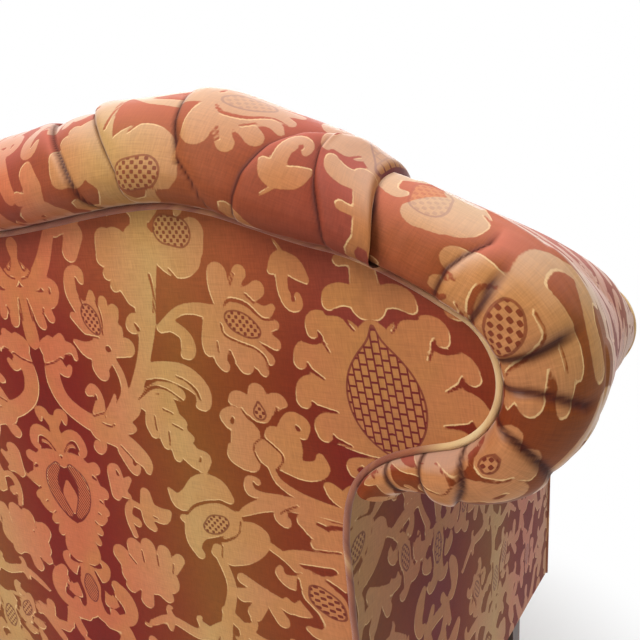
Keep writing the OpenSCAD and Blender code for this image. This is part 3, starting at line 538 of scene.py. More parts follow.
def tulip(d: Drawing) -> None:
    """Draws the flower with the star eye and the tulip that holds it."""
    d.motif((105, -49, 11), (105, -35, 8))
    d.motif((103.5, -50, 7.5), (89, -40, 7), (82, -41, 3))
    d.motif((108.5, -50, 7.5), (122.5, -42.5, 7.5), (129.5, -44.5, 3.5))
    d.slit((89, -45, 1), (95, -57.5, 1), (105, -61, 1.5), (116, -57.5, 1), (121.5, -50, 1))
    d.motif(
        (71, -63, 5), (69, -55.5, 5.5), (77, -53, 6.5), (82.5, -62.5, 8.5), (83.5, -75, 11),
        (87.5, -87.5, 11.5),
    )
    d.motif((60, -80, 3), (61.5, -89, 6.5), (73.5, -94, 8.5), (91, -89, 9))
    d.motif(
        (135, -64, 5), (138.5, -58.5, 5), (130, -55.5, 6.5), (122, -65, 11), (124, -82.5, 12.5),
        (121, -94, 10),
    )
    d.motif((137, -84, 3), (136, -92.5, 5.5), (126, -97.5, 6))
    d.motif((101.5, -85, 12), (102, -82.5, 12))
    d.motif((94, -70, 9.5), (91.5, -72.5, 9))
    d.motif((115.5, -70, 8.5), (117, -72.5, 8.5))
    d.slit((105, -71.5, 1), (91, -82.5, 1), (90.5, -90, 1), (96, -97, 1))
    d.slit((105, -71.5, 1), (113.5, -78, 1), (115.5, -85, 1), (111.5, -94.5, 1))
    d.slit((73.5, -60, 2), (75, -57.5, 1))
    d.slit((132.5, -62.5, 2), (131, -59, 1.5))
    d.slit((71, -82.5, 1), (67.5, -74, 1), (71, -70, 1))
    d.slit((106, -65, 1), (107, -70, 1))
    d.eye((105, -43, 1), (105, -47, 3), (105, -51.5, 5.5))
    d.motif((102, -96, 3), (96, -108, 3.5), (78.5, -118, 4), (58.5, -123, 4), (43.5, -126.5, 5))


def lower_branch(d: Drawing) -> None:
    """Draws the branch under the tulip, with its ring curl and its leaves."""
    d.motif(
        (41, -128.5, 5.5), (71, -126, 6), (96, -127, 7), (116, -133, 6), (131, -140.5, 4.5),
        (140, -146.5, 2),
    )
    d.motif((96, -122, 3), (113.5, -123, 3), (124.5, -121.5, 5), (123.5, -113, 5.5), (117, -111.5, 3.5))
    d.slit((119, -116.5, 2), (121, -113, 1))
    d.motif((42.5, -122.5, 2), (52.5, -111.5, 7), (57.5, -104.5, 5))
    d.motif((38.5, -107.5, 2.5), (40, -102.5, 3.5), (46, -107.5, 4))
    d.motif((46, -136, 2), (61, -140, 6), (78.5, -138, 6.5), (76.5, -144, 4.5))
    d.motif((96, -135, 4), (100, -139.5, 5.5), (95, -144, 4.5), (92, -140.5, 2))
    d.slit((45, -137.5, 1), (63.5, -137.5, 1), (66, -142.5, 1))
    d.slit((83.5, -126.5, 1), (94, -132.5, 1), (99, -136.5, 1))
    d.motif((46, -150, 10), (58.5, -154, 11), (72.5, -157.5, 6))
    d.motif((51, -162.5, 9), (78.5, -170, 7.5), (97, -175, 5.5))
    d.slit((61, -160, 1), (78.5, -163.5, 1), (91, -166, 1))
    d.motif((18.5, -80, 6), (33.5, -82.5, 6.5), (36, -88, 4))
    d.slit((31, -85, 2), (28, -82, 1))


def fruit(d: Drawing) -> None:
    """Draws the round fruit with its hood and its tail."""
    d.motif(
        (147.5, -133, 5), (158.5, -125.5, 10.5), (174, -128, 12.5), (189, -140, 9.5), (201.5, -146, 8),
        (210.5, -135.5, 2),
    )
    d.motif(
        (146, -150.5, 8.5), (168.5, -156, 16.5), (186, -167.5, 13), (193, -182.5, 8.5), (189, -195, 5.5),
    )
    d.motif((121, -162.5, 8.5), (131, -167.5, 16.5), (143.5, -177.5, 16.5), (156, -187.5, 11.5))
    d.motif((194, -160, 2.5), (200, -162, 4))
    d.motif((168, -186, 6), (171, -190, 5))
    d.slit((143.5, -143.5, 1), (156, -138.5, 1), (171, -140.5, 1.5), (186, -147.5, 1.5), (196, -157.5, 1))
    d.slit(
        (139.5, -152.5, 1), (144, -165.5, 1), (158.5, -175, 1.5), (176.5, -179.5, 1.5), (184, -188, 2),
        (181, -192.5, 1.5),
    )
    d.slit((163, -181, 1), (165, -192.5, 1))
    d.eye((157, -156.5, 5), (161, -158.5, 7), (166, -161, 8.5), (170.5, -164, 7), (174.5, -166, 5))


def heart(d: Drawing) -> None:
    """Draws the heart with its frill, the fleur on top and the leaves below."""
    d.motif(
        (343, -136, 3.5), (331, -129, 7.5), (315, -135.5, 9.5), (307.5, -150.5, 9.5), (306.5, -168.5, 9),
        (314, -186, 8.5), (327, -200, 7.5), (343, -207.5, 6.5),
    )
    d.motif((306, -135, 6.5), (299.5, -132.5, 6.5))
    d.motif((303.5, -157.5, 8.5), (295, -157.5, 6.5))
    d.motif((306, -175, 8.5), (298.5, -177.5, 5.5))
    d.motif((308.5, -187.5, 7.5), (301.5, -185, 4))
    d.motif((318.5, -197.5, 7.5), (312, -202.5, 4.5))
    d.motif((323.5, -207.5, 6.5), (317.5, -215, 4.5))
    d.motif((343, -185, 4.5), (339, -170, 5.5), (343, -155, 2.5))
    d.slit((305, -142.5, 2), (301.5, -145, 1))
    d.slit((302.5, -167.5, 1.5), (299.5, -169, 1))
    d.slit((308.5, -181.5, 1), (306, -183, 1))
    d.slit((316, -192.5, 1), (313, -195, 1))
    d.eye(
        (333.5, -139, 4.5), (324, -150, 7.5), (322.5, -162.5, 8), (327.5, -177.5, 7.5),
        (336.5, -190, 4.5),
    )
    d.motif((340, -122.5, 4.5), (332, -110, 7.5), (319, -106, 9.5), (312, -115, 7), (314.5, -122, 3))
    d.slit((317.5, -116.5, 2), (321, -110, 2), (330, -113, 1), (337.5, -122.5, 1))
    d.motif((343, -120, 3), (343, -102.5, 7), (342, -86, 2))
    d.motif((340, -95, 3.5), (333.5, -83.5, 5.5), (326.5, -83, 5), (326.5, -90.5, 2.5))
    d.motif((331, -215, 7.5), (328.5, -232.5, 9), (343, -242.5, 7.5))
    d.motif((343, -210, 7.5), (343, -225, 10))


def palmette(d: Drawing) -> None:
    """Draws the volutes and the pendant over the heart."""
    d.motif((340, 32, 6.5), (321, 27, 7.5), (307, 29, 8), (300, 38.5, 6), (306, 43, 5), (312, 38.5, 2.5))
    d.motif((318.5, 27.5, 6.5), (311.5, 12, 5))
    d.motif((328.5, 25, 7), (325.5, 7.5, 6), (323, 4, 3.5))
    d.motif((343, 27.5, 6.5), (343, 7.5, 8.5), (341, -10, 6.5), (343, -18, 2))
    d.slit((306, 34.5, 1.5), (305.5, 38.5, 1))
    d.slit((321, 15, 1), (318.5, 20, 1))
    d.slit((336.5, 7.5, 1), (337.5, 27.5, 1))
    d.motif((293.5, 85, 6.5), (306, 62.5, 8), (321, 46, 9), (333.5, 47, 10), (340, 57.5, 6))
    d.motif((263.5, 85, 10), (271.5, 70, 8.5))
    d.slit(
        (339, 45.5, 1), (329, 49, 1), (323, 58.5, 1), (330, 66.5, 1), (337, 62, 1), (333.5, 53.5, 1),
        (330, 55, 1),
    )
    d.motif((343, 75, 7.5), (343, 62.5, 3.5))


def sprig(d: Drawing) -> None:
    """Draws the sprigs between the heart and the fruit."""
    d.motif((267.5, -134, 3), (270.5, -126.5, 4), (277.5, -130, 5.5), (275, -145, 9), (278, -155, 6))
    d.motif((257, -135, 3), (268, -145, 6.5))
    d.motif((261.5, -153.5, 3), (271, -150, 6))
    d.motif((248.5, -162.5, 3), (259, -160, 3.5), (266, -167.5, 4.5), (267.5, -180, 4), (264, -194, 3.5))
    d.motif((266, -175, 3.5), (257.5, -179.5, 5))
    d.motif((240, -146, 6), (241, -160, 8.5), (243, -175, 6.5), (238.5, -180, 4.5))
    d.motif((216, -160, 3), (226, -165.5, 8.5), (241, -161.5, 8.5))
    d.slit((270.5, -132.5, 2), (271.5, -129, 1))
    d.slit((236, -168.5, 1), (231, -170, 1))


def cluster(d: Drawing) -> None:
    """Draws the row of leaves under the sprigs."""
    d.motif((215, -208, 6), (226, -220, 7.5))
    d.motif((232, -204.5, 7.5), (236, -220, 10))
    d.motif((251, -203, 8.5), (253.5, -220, 12.5))
    d.motif((269, -208, 9.5), (266, -222.5, 12.5))
    d.motif((289, -221, 10.5), (276, -235, 12.5))
    d.motif((236, -235, 15), (261, -240, 17.5), (283.5, -242.5, 10))
    d.slit((223.5, -215, 1), (226, -225, 1))
    d.slit((241.5, -210, 1), (242.5, -222.5, 1))
    d.slit((260.5, -210, 1), (260, -222.5, 1))
    d.slit((278.5, -219, 1), (271, -227.5, 1))


def upper_field(d: Drawing) -> None:
    """Draws the leaves and pods over the measured field, up to the next repeat."""
    d.motif((1, 75, 3), (8, 96, 3), (2, 122, 3.5), (0, 150, 4))
    d.pod((0, 128, 62), 90)
    d.leaf((186, 100, 26), (150, 132, 27), (104, 140, 22), (72, 126, 16), lobes=3, side=-1.0)
    d.leaf((196, 104, 26), (226, 130, 27), (262, 132, 22), (292, 116, 16), lobes=3, side=1.0)
    d.motif((196, 75, 9), (192, 100, 8), (188, 132, 6), (196, 168, 5), (176, 190, 5))
    d.pod((188, 138, 64), 84)
    d.fan((262, 92, 38), 60, 60, 4)
    d.comma((318, 96, 44), 74, 1.0)
    d.pod((343, 104, 60), 90)
    d.comma((96, 98, 40), 118, 1.0)
    d.fan((128, 176, 36), 150, 70, 4)
    d.fan((262, 178, 36), 40, 70, 4)
    d.comma((60, 176, 44), 200, 1.0)
    d.comma((320, 172, 44), 330, -1.0)


def lower_field(d: Drawing) -> None:
    """Draws the leaves and pods under the measured field, down to the next repeat."""
    d.leaf((2, -92, 18), (14, -124, 20), (8, -160, 20), (2, -196, 16), lobes=2, side=1.0)
    d.pod((0, -204, 66), 270)
    d.motif((47, -126, 4), (52, -150, 4), (40, -178, 4), (24, -200, 5))
    d.comma((50, -148, 34), 10, -1.0)
    d.pod((84, -186, 58), 250)
    d.motif((112, -170, 4), (98, -178, 4), (86, -188, 5))
    d.comma((60, -206, 40), 200, 1.0)
    d.fan((124, -216, 38), 290, 76, 5)
    d.motif((168, -190, 5), (160, -222, 5), (172, -262, 6), (178, -300, 6), (176, -330, 5))
    d.leaf((170, -250, 20), (140, -270, 20), (104, -272, 16), (78, -286, 12), lobes=2, side=1.0)
    d.leaf((176, -268, 20), (206, -286, 20), (240, -280, 16), (266, -292, 12), lobes=2, side=-1.0)
    d.fan((262, -236, 40), 268, 80, 5)
    d.pod((343, -246, 66), 270)
    d.comma((306, -262, 44), 250, -1.0)
    d.comma((36, -262, 44), 286, 1.0)
    d.pod((110, -316, 52), 300)
    d.pod((236, -316, 52), 240)
    d.fan((30, -306, 36), 210, 60, 4)
    d.fan((300, -312, 36), 330, 60, 4)


MOTIFS = (
    artichoke, trefoil_leaf, pomegranate, main_stalk, trefoil_flower, c_scroll, acanthus, tulip, lower_branch,
    fruit, heart, palmette, sprig, cluster, upper_field, lower_field,
)


@dataclass
class Damask:
    """The pattern as fields on a grid: how far each point lies from the figures and from the eyes.

    Each field holds a distance in millimetres, below zero inside. Strokes are chains of segments
    whose radius changes evenly, and a stroke's distance is the least over its segments of the
    distance to the segment less the radius there. Slits are cut out of the figures: the figures'
    distance is max(motif, -slit). The pattern mirrors at both axes and repeats upwards.
    """

    step: float = 1.0
    far: float = 14.0

    def __post_init__(self) -> None:
        """Draws every stroke into its field."""
        self.columns = int(HALF_REPEAT / self.step) + 1
        self.rows = int(RISE_REPEAT / self.step)
        self.x = np.arange(self.columns) * self.step
        self.y = np.arange(self.rows) * self.step
        self.fields = {mark: np.full((self.rows, self.columns), self.far) for mark in Mark}
        drawing = Drawing()
        for part in MOTIFS:
            part(drawing)
        for stroke in drawing.strokes:
            self._draw_copies(stroke)
        self.motif = np.maximum(self.fields[Mark.MOTIF], -self.fields[Mark.SLIT])
        up, across = np.gradient(self.motif, self.step)
        self.lit = np.clip(across * 0.6 - up * 0.8, -1.0, 1.0)

    def _draw_copies(self, stroke: Stroke) -> None:
        """Draws a stroke, its mirror images over both axes, and their copies above and below."""
        for mirror_at in (None, 0.0, HALF_REPEAT):
            points = stroke.points.copy()
            if mirror_at is not None:
                points[:, 0] = 2 * mirror_at - points[:, 0]
            for lift in (-RISE_REPEAT, 0.0, RISE_REPEAT):
                moved = points + np.array([0.0, lift - RISE_START])
                self._draw(moved, stroke.radii, self.fields[stroke.mark])

    def _draw(self, points: Array, radii: Array, target: Array) -> None:
        """Lowers a field to the distance of one stroke, inside the stroke's window."""
        reach = self.far + float(radii.max())
        low = np.floor((points.min(axis=0) - reach) / self.step).astype(int)
        high = np.ceil((points.max(axis=0) + reach) / self.step).astype(int) + 1
        c0, c1 = max(low[0], 0), min(high[0], self.columns)
        r0, r1 = max(low[1], 0), min(high[1], self.rows)
        if c0 >= c1 or r0 >= r1:
            return
        gx, gy = np.meshgrid(self.x[c0:c1], self.y[r0:r1])
        window = target[r0:r1, c0:c1]
        for (ax, ay), (bx, by), ra, rb in zip(points[:-1], points[1:], radii[:-1], radii[1:]):
            dx, dy = bx - ax, by - ay
            t = np.clip(((gx - ax) * dx + (gy - ay) * dy) / max(dx * dx + dy * dy, 1e-6), 0.0, 1.0)
            gap = np.hypot(gx - ax - t * dx, gy - ay - t * dy) - (ra + (rb - ra) * t)
            np.minimum(window, gap, out=window)

    def sample(self, u: Array, v: Array) -> Array:
        """Reads the fields at places on the cloth by bilinear interpolation.

        Args:
            u: distances across the cloth from an artichoke's axis, in millimetres.
            v: distances up the cloth, in millimetres.

        Returns:
            Three values a point: the distance from the figures, the lit side of their edges, and the
            distance from the eyes.
        """
        m = np.mod(u, 2 * HALF_REPEAT)
        m = np.where(m > HALF_REPEAT, 2 * HALF_REPEAT - m, m) / self.step
        n = np.mod(v - RISE_START, RISE_REPEAT) / self.step
        c = np.clip(m.astype(int), 0, self.columns - 2)
        r = np.mod(n.astype(int), self.rows)
        r2 = np.mod(r + 1, self.rows)
        fc, fr = m - c, n - n.astype(int)

        def read(values: Array) -> Array:
            """Reads one field at the places."""
            low = values[r, c] * (1 - fc) + values[r, c + 1] * fc
            high = values[r2, c] * (1 - fc) + values[r2, c + 1] * fc
            return low * (1 - fr) + high * fr

        return np.stack([read(self.motif), read(self.lit), read(self.fields[Mark.EYE])], axis=-1)


DAMASK = Damask()

# Meshes


@dataclass
class Sheet:
    """A grid of points with its place on the cloth, in millimetres, and how strong the painted shade of tucks
    and crevices is at each.
    """

    points: Array
    cloth: Array
    dark: Array | None = None


def grid_faces(rows: int, columns: int, joined: bool = False) -> Array:
    """Corner numbers of a grid's quads, with the next column to the right and the next row above.

    Args:
        rows, columns: numbers of points.
        joined: whether the last column meets the first one again.

    Returns:
        One row of four numbers for each quad.
    """
    r, c = np.meshgrid(np.arange(rows - 1), np.arange(columns - (not joined)), indexing="ij")
    right = np.mod(c + 1, columns)
    corners = [r * columns + c, r * columns + right, (r + 1) * columns + right, (r + 1) * columns + c]
    return np.stack(corners, axis=-1).reshape(-1, 4)


class Piece:
    """One soft or hard form: points, faces and cloth places, gathered and then made an object."""

    def __init__(self, name: str) -> None:
        """Starts an empty piece with the given object name."""
        self.name = name
        self.points: list[Array] = []
        self.cloth: list[Array] = []
        self.dark: list[Array] = []
        self.faces: list[Array] = []
        self.count = 0

    def add(self, points: Array, cloth: Array, faces: Array, dark: Array | None = None) -> None:
        """Adds loose points, their cloth places, their faces, numbered from zero, and their painted shade."""
        self.points.append(points.reshape(-1, 3))
        self.dark.append(np.zeros(len(self.points[-1])) if dark is None else dark.ravel())
        self.cloth.append(cloth.reshape(-1, 2))
        self.faces.append(faces + self.count)
        self.count += len(self.points[-1])

    def sheet(self, sheet: Sheet, flip: bool = False) -> None:
        """Adds a grid, turned over if flip is set."""
        faces = grid_faces(*sheet.points.shape[:2])
        self.add(sheet.points, sheet.cloth, faces[:, ::-1] if flip else faces, sheet.dark)

    def make(self, slot: str, body: str, patterned: bool = True) -> bpy.types.Object:
        """Makes the mesh object, smooth, with its cloth map and pattern fields.

        Args:
            slot: material slot of the record that the piece wears.
            body: body that the piece rides on.
            patterned: whether the damask's fields are stored.

        Returns:
            The new object, linked to the scene.
        """
        points = np.concatenate(self.points)
        cloth = np.concatenate(self.cloth)
        faces = np.concatenate(self.faces)
        mesh = bpy.data.meshes.new(self.name)
        mesh.from_pydata((points * MM).tolist(), [], faces.tolist())
        lay_cloth(mesh, cloth)
        if patterned:
            store_pattern(mesh, cloth, np.concatenate(self.dark))
        smooth(mesh)
        mesh.update()
        obj = bpy.data.objects.new(self.name, mesh)
        bpy.context.scene.collection.objects.link(obj)
        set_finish(obj, slot)
        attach(obj, body)
        LOG.info("%s: %d points, %d faces", self.name, len(points), len(faces))
        return obj


def smooth(mesh: bpy.types.Mesh) -> None:
    """Shades all of a mesh's faces smoothly."""
    mesh.polygons.foreach_set("use_smooth", np.ones(len(mesh.polygons), dtype=bool))


def lay_cloth(mesh: bpy.types.Mesh, cloth: Array) -> None:
    """Lays the cloth map on a mesh: the place of each point on the cloth, given in millimetres."""
    corners = np.empty(len(mesh.loops), dtype=np.int32)
    mesh.loops.foreach_get("vertex_index", corners)
    layer = mesh.uv_layers.new(name="cloth")
    layer.data.foreach_set("uv", (cloth[corners] * MM).astype(np.float32).ravel())


def store_pattern(mesh: bpy.types.Mesh, cloth: Array, dark: Array) -> None:
    """Stores the damask's fields and the painted shade of tucks and crevices at each point of a mesh.

    Args:
        mesh: the mesh.
        cloth: place of each point on the cloth, in millimetres.
        dark: strength of the painted shade at each point, from 0 to 1.
    """
    values = DAMASK.sample(cloth[:, 0], cloth[:, 1])
    store = mesh.attributes.new("pattern", "FLOAT_VECTOR", "POINT")
    store.data.foreach_set("vector", values.astype(np.float32).ravel())
    # The painted shade is stored as the attribute tuck, which the damask's shader reads.
    store = mesh.attributes.new("tuck", "FLOAT", "POINT")
    store.data.foreach_set("value", dark.astype(np.float32))


def tube(path: Array, radius: float, square: Array, closed: bool) -> tuple[Array, Array, Array]:
    """A round cord along a flat path, with flat caps if it is open.

    A point of the cord is path + radius·(square·cos(a) + (ahead × square)·sin(a)), where ahead is the
    path's direction and a the way round.

    Args:
        path: points on the cord's middle line.
        radius: radius of the cord.
        square: unit direction square to the plane in which the path lies.
        closed: whether the path is a loop.

    Returns:
        Points, cloth places (length along the cord, way round it) and faces.
    """
    sides = 12
    ahead = np.roll(path, -1, axis=0) - np.roll(path, 1, axis=0)
    if not closed:
        ahead[[0, -1]] = path[[1, -1]] - path[[0, -2]]
    ahead = unit(ahead)
    normal = unit(square - ahead * (ahead @ square)[:, None])
    side = np.cross(ahead, normal)
    turn = np.arange(sides) * 2 * np.pi / sides
    ring = normal[:, None] * np.cos(turn)[None, :, None] + side[:, None] * np.sin(turn)[None, :, None]
    points = (path[:, None] + radius * ring).reshape(-1, 3)
    along = lengths_along(path)
    cloth = np.stack(np.broadcast_arrays(along[:, None], (turn * radius)[None, :]), axis=-1).reshape(-1, 2)
    rows = len(path)
    faces = np.mod(grid_faces(rows + closed, sides, joined=True), rows * sides)
    if not closed:
        points = np.concatenate([points, path[[0, -1]]])
        cloth = np.concatenate([cloth, [[along[0], 0.0], [along[-1], 0.0]]])
        hub = rows * sides
        last = hub - sides
        k = np.arange(0, sides, 2)
        after = np.mod(k + 2, sides)
        start = np.stack([np.full_like(k, hub), after, k + 1, k], axis=-1)
        end = np.stack([np.full_like(k, hub + 1), last + k, last + k + 1, last + after], axis=-1)
        faces = np.concatenate([faces, start, end])
    return points, cloth, faces


def lengths_along(path: Array) -> Array:
    """Returns the length of the path up to each of its points."""
    return np.concatenate([[0.0], np.cumsum(np.linalg.norm(np.diff(path, axis=0), axis=1))])


def respaced(path: Array, step: float) -> Array:
    """Returns the path with points spread evenly about the given step apart."""
    lengths = lengths_along(path)
    count = max(3, int(round(lengths[-1] / step)) + 1)
    at = np.linspace(0.0, lengths[-1], count)
    return np.stack([np.interp(at, lengths, path[:, k]) for k in range(path.shape[1])], axis=-1)


def outward(path: Array) -> Array:
    """Unit normals of a flat path that runs clockwise, pointing out of it."""
    way = unit(np.gradient(path, axis=0))
    return np.stack([-way[:, 1], way[:, 0]], axis=-1)


def crease(distance: Array, depth: float, reach: float) -> Array:
    """Height of a tuck across its line: a soft slope down to it, then a sharp lip.

    With w = |reach|, h(d) = -depth·exp(-|d|/w) for d < 0, and
    depth·((d/w)·exp(1 - d/w) - exp(-d/1.3)) for d > 0.

    Args:
        distance: signed distances from the line, in millimetres.
        depth: depth of the tuck.
        reach: reach of the slope, its sign the side of the lip.

    Returns:
        Heights over the plain surface.
    """
    d = distance * math.copysign(1.0, reach)
    w = abs(reach)
    dip = -depth * np.exp(-np.abs(np.minimum(d, 0.0)) / w)
    rise = np.maximum(d, 0.0)
    lip = depth * (rise / w * np.exp(1.0 - rise / w) - np.exp(-rise / 1.3))
    return np.where(d < 0.0, dip, lip)


@dataclass(frozen=True)
class Pleat:
    """A tuck in a roll, in millimetres and degrees.

    Its line passes places along the roll at angles round it, from the welt out.
    """

    turns: tuple[float, ...]
    places: tuple[float, ...]
    depth: float
    reach: float

    def distance(self, place: Array, turn: Array) -> Array:
        """Signed distance along the roll from the tuck's line."""
        return place - np.interp(turn, self.turns, self.places)

    def strength(self, turn: Array) -> Array:
        """How deep the tuck is at the angle: full between its ends, fading past them."""
        first, last = self.turns[0], self.turns[-1]
        return np.clip((turn - first) / 8.0 + 1.0, 0.0, 1.0) * np.clip((last - turn) / 25.0 + 1.0, 0.0, 1.0)


def tucks(pleats: tuple[Pleat, ...], place: Array, turn: Array) -> tuple[Array, Array]:
    """Heights of several pleats over a roll, and the painted shadow along their lines.

    Args:
        pleats: the pleats.
        place: places along the roll.
        turn: angles round the roll.

    Returns:
        Heights in millimetres, and strengths of the painted shadow from 0 to 1, 1 on a tuck's line.
    """
    lift = np.zeros(np.broadcast(place, turn).shape)
    dark = np.zeros_like(lift)
    for pleat in pleats:
        away = pleat.distance(place, turn)
        strength = pleat.strength(turn)
        lift = lift + crease(away, pleat.depth, pleat.reach) * strength
        # Painted shadow along each tuck's line.
        dark = np.maximum(dark, np.exp(-((away / 2.6) ** 2)) * strength)
    return lift, dark


def ripple(a: Array, b: Array, seed: int, reach: float, count: int = 9) -> Array:
    """Slow uneven waves over a surface: a mean of sine waves in seeded directions.

    Args:
        a, b: places on the surface in millimetres.
        seed: seed of the directions.
        reach: length of the longest wave.
        count: number of waves.

    Returns:
        Values that lie mostly between -1 and 1.
    """
    rng = np.random.default_rng(seed)
    total = np.zeros(np.broadcast(a, b).shape)
    for _ in range(count):
        way = rng.uniform(0.0, 2.0 * np.pi)
        length = reach * rng.uniform(0.45, 1.0)
        phase = rng.uniform(0.0, 2.0 * np.pi)
        total = total + np.sin((a * math.cos(way) + b * math.sin(way)) * 2 * np.pi / length + phase)
    return total / math.sqrt(count)


def flat_panel(outline: Array, xs: Array, ys: Array) -> tuple[Array, Array]:
    """Covers the inside of a closed outline with a grid whose border is drawn onto the outline.

    Args:
        outline: points of the closed outline.
        xs, ys: places of the grid's columns and rows.

    Returns:
        Flat points and the quads that join them.
    """
    gx, gy = np.meshgrid(xs, ys)
    inside = np.zeros(gx.shape, dtype=bool)
    for (ax, ay), (bx, by) in zip(outline, np.roll(outline, -1, axis=0)):
        if ay != by:
            crosses = (ay > gy) != (by > gy)
            inside ^= crosses & (gx < ax + (gy - ay) * (bx - ax) / (by - ay))
    cell = inside[:-1, :-1] | inside[1:, :-1] | inside[:-1, 1:] | inside[1:, 1:]
    used = np.zeros(gx.shape, dtype=bool)
    for dr in (0, 1):
        for dc in (0, 1):
            used[dr:gx.shape[0] - 1 + dr, dc:gx.shape[1] - 1 + dc] |= cell
    points = np.stack([gx, gy], axis=-1)
    border = used & ~inside
    points[border] = nearest_on(outline, points[border])
    number = np.full(gx.size, -1)
    number[used.ravel()] = np.arange(used.sum())
    faces = grid_faces(*gx.shape)[cell.ravel()]
    return points[used], number[faces]


def nearest_on(outline: Array, points: Array) -> Array:
    """Returns the places on a closed outline that lie nearest to the given points."""
    way = np.roll(outline, -1, axis=0) - outline
    from_start = points[:, None] - outline[None]
    t = (from_start * way).sum(axis=2) / np.maximum((way**2).sum(axis=1), 1e-9)
    spots = outline + way * np.clip(t, 0.0, 1.0)[..., None]
    best = np.argmin(((spots - points[:, None]) ** 2).sum(axis=2), axis=1)
    return spots[np.arange(len(points)), best]


def mirrored(sheet: Sheet) -> Sheet:
    """Returns the sheet mirrored from the right side of the sofa to the left one."""
    return Sheet(sheet.points * np.array([-1.0, 1.0, 1.0]), sheet.cloth * np.array([-1.0, 1.0]), sheet.dark)


def spread(low: float, fine_end: float, high: float, fine: float, coarse: float) -> Array:
    """Places from low to high, fine apart up to fine_end and coarse apart beyond it."""
    near = np.linspace(low, fine_end, max(2, int(round((fine_end - low) / fine)) + 1))
    rest = np.linspace(fine_end, high, max(2, int(round((high - fine_end) / coarse)) + 1))
    return np.concatenate([near, rest[1:]])


# The back

# Way round a roll at which its surface has turned onto its even curve, in degrees
JOIN = 14.0


def turns(last: float, count: int) -> Array:
    """Angles round a roll from the welt to the last one, as a column: five up to the join, then even."""
    return np.concatenate([np.linspace(0.0, 0.8, 5) * JOIN, np.linspace(JOIN, last, count)])[:, None]


def roll_shape(turn: Array, width: Array, behind: Array | float, middle: float) -> tuple[Array, Array]:
    """Section of a stuffed roll round the edge of the back.

    From the join on, the roll stands out by width·sin(a)^0.8 and lies forward by
    middle - (middle + behind)·cos(a). Before that it leaves the welt square and turns onto that curve.

    Args:
        turn: way round the section in degrees, from 0 at the welt.
        width: how far the roll stands out of the outline.
        behind: how far it bulges behind the back.
        middle: how far forward its widest part lies.

    Returns:
        The distances outwards and forwards.
    """
    start_out, start_forward = 2.4, -0.6
    a = np.radians(np.maximum(turn, JOIN))
    out = width * np.sin(a) ** 0.8
    forward = middle - (middle + behind) * np.cos(a)
    t = np.clip(turn / JOIN, 0.0, 1.0)
    out = np.where(t < 1.0, mix(start_out, out, t**1.7), out)
    forward = np.where(t < 1.0, mix(start_forward, forward, 1.0 - (1.0 - t) ** 2.2), forward)
    return out, forward


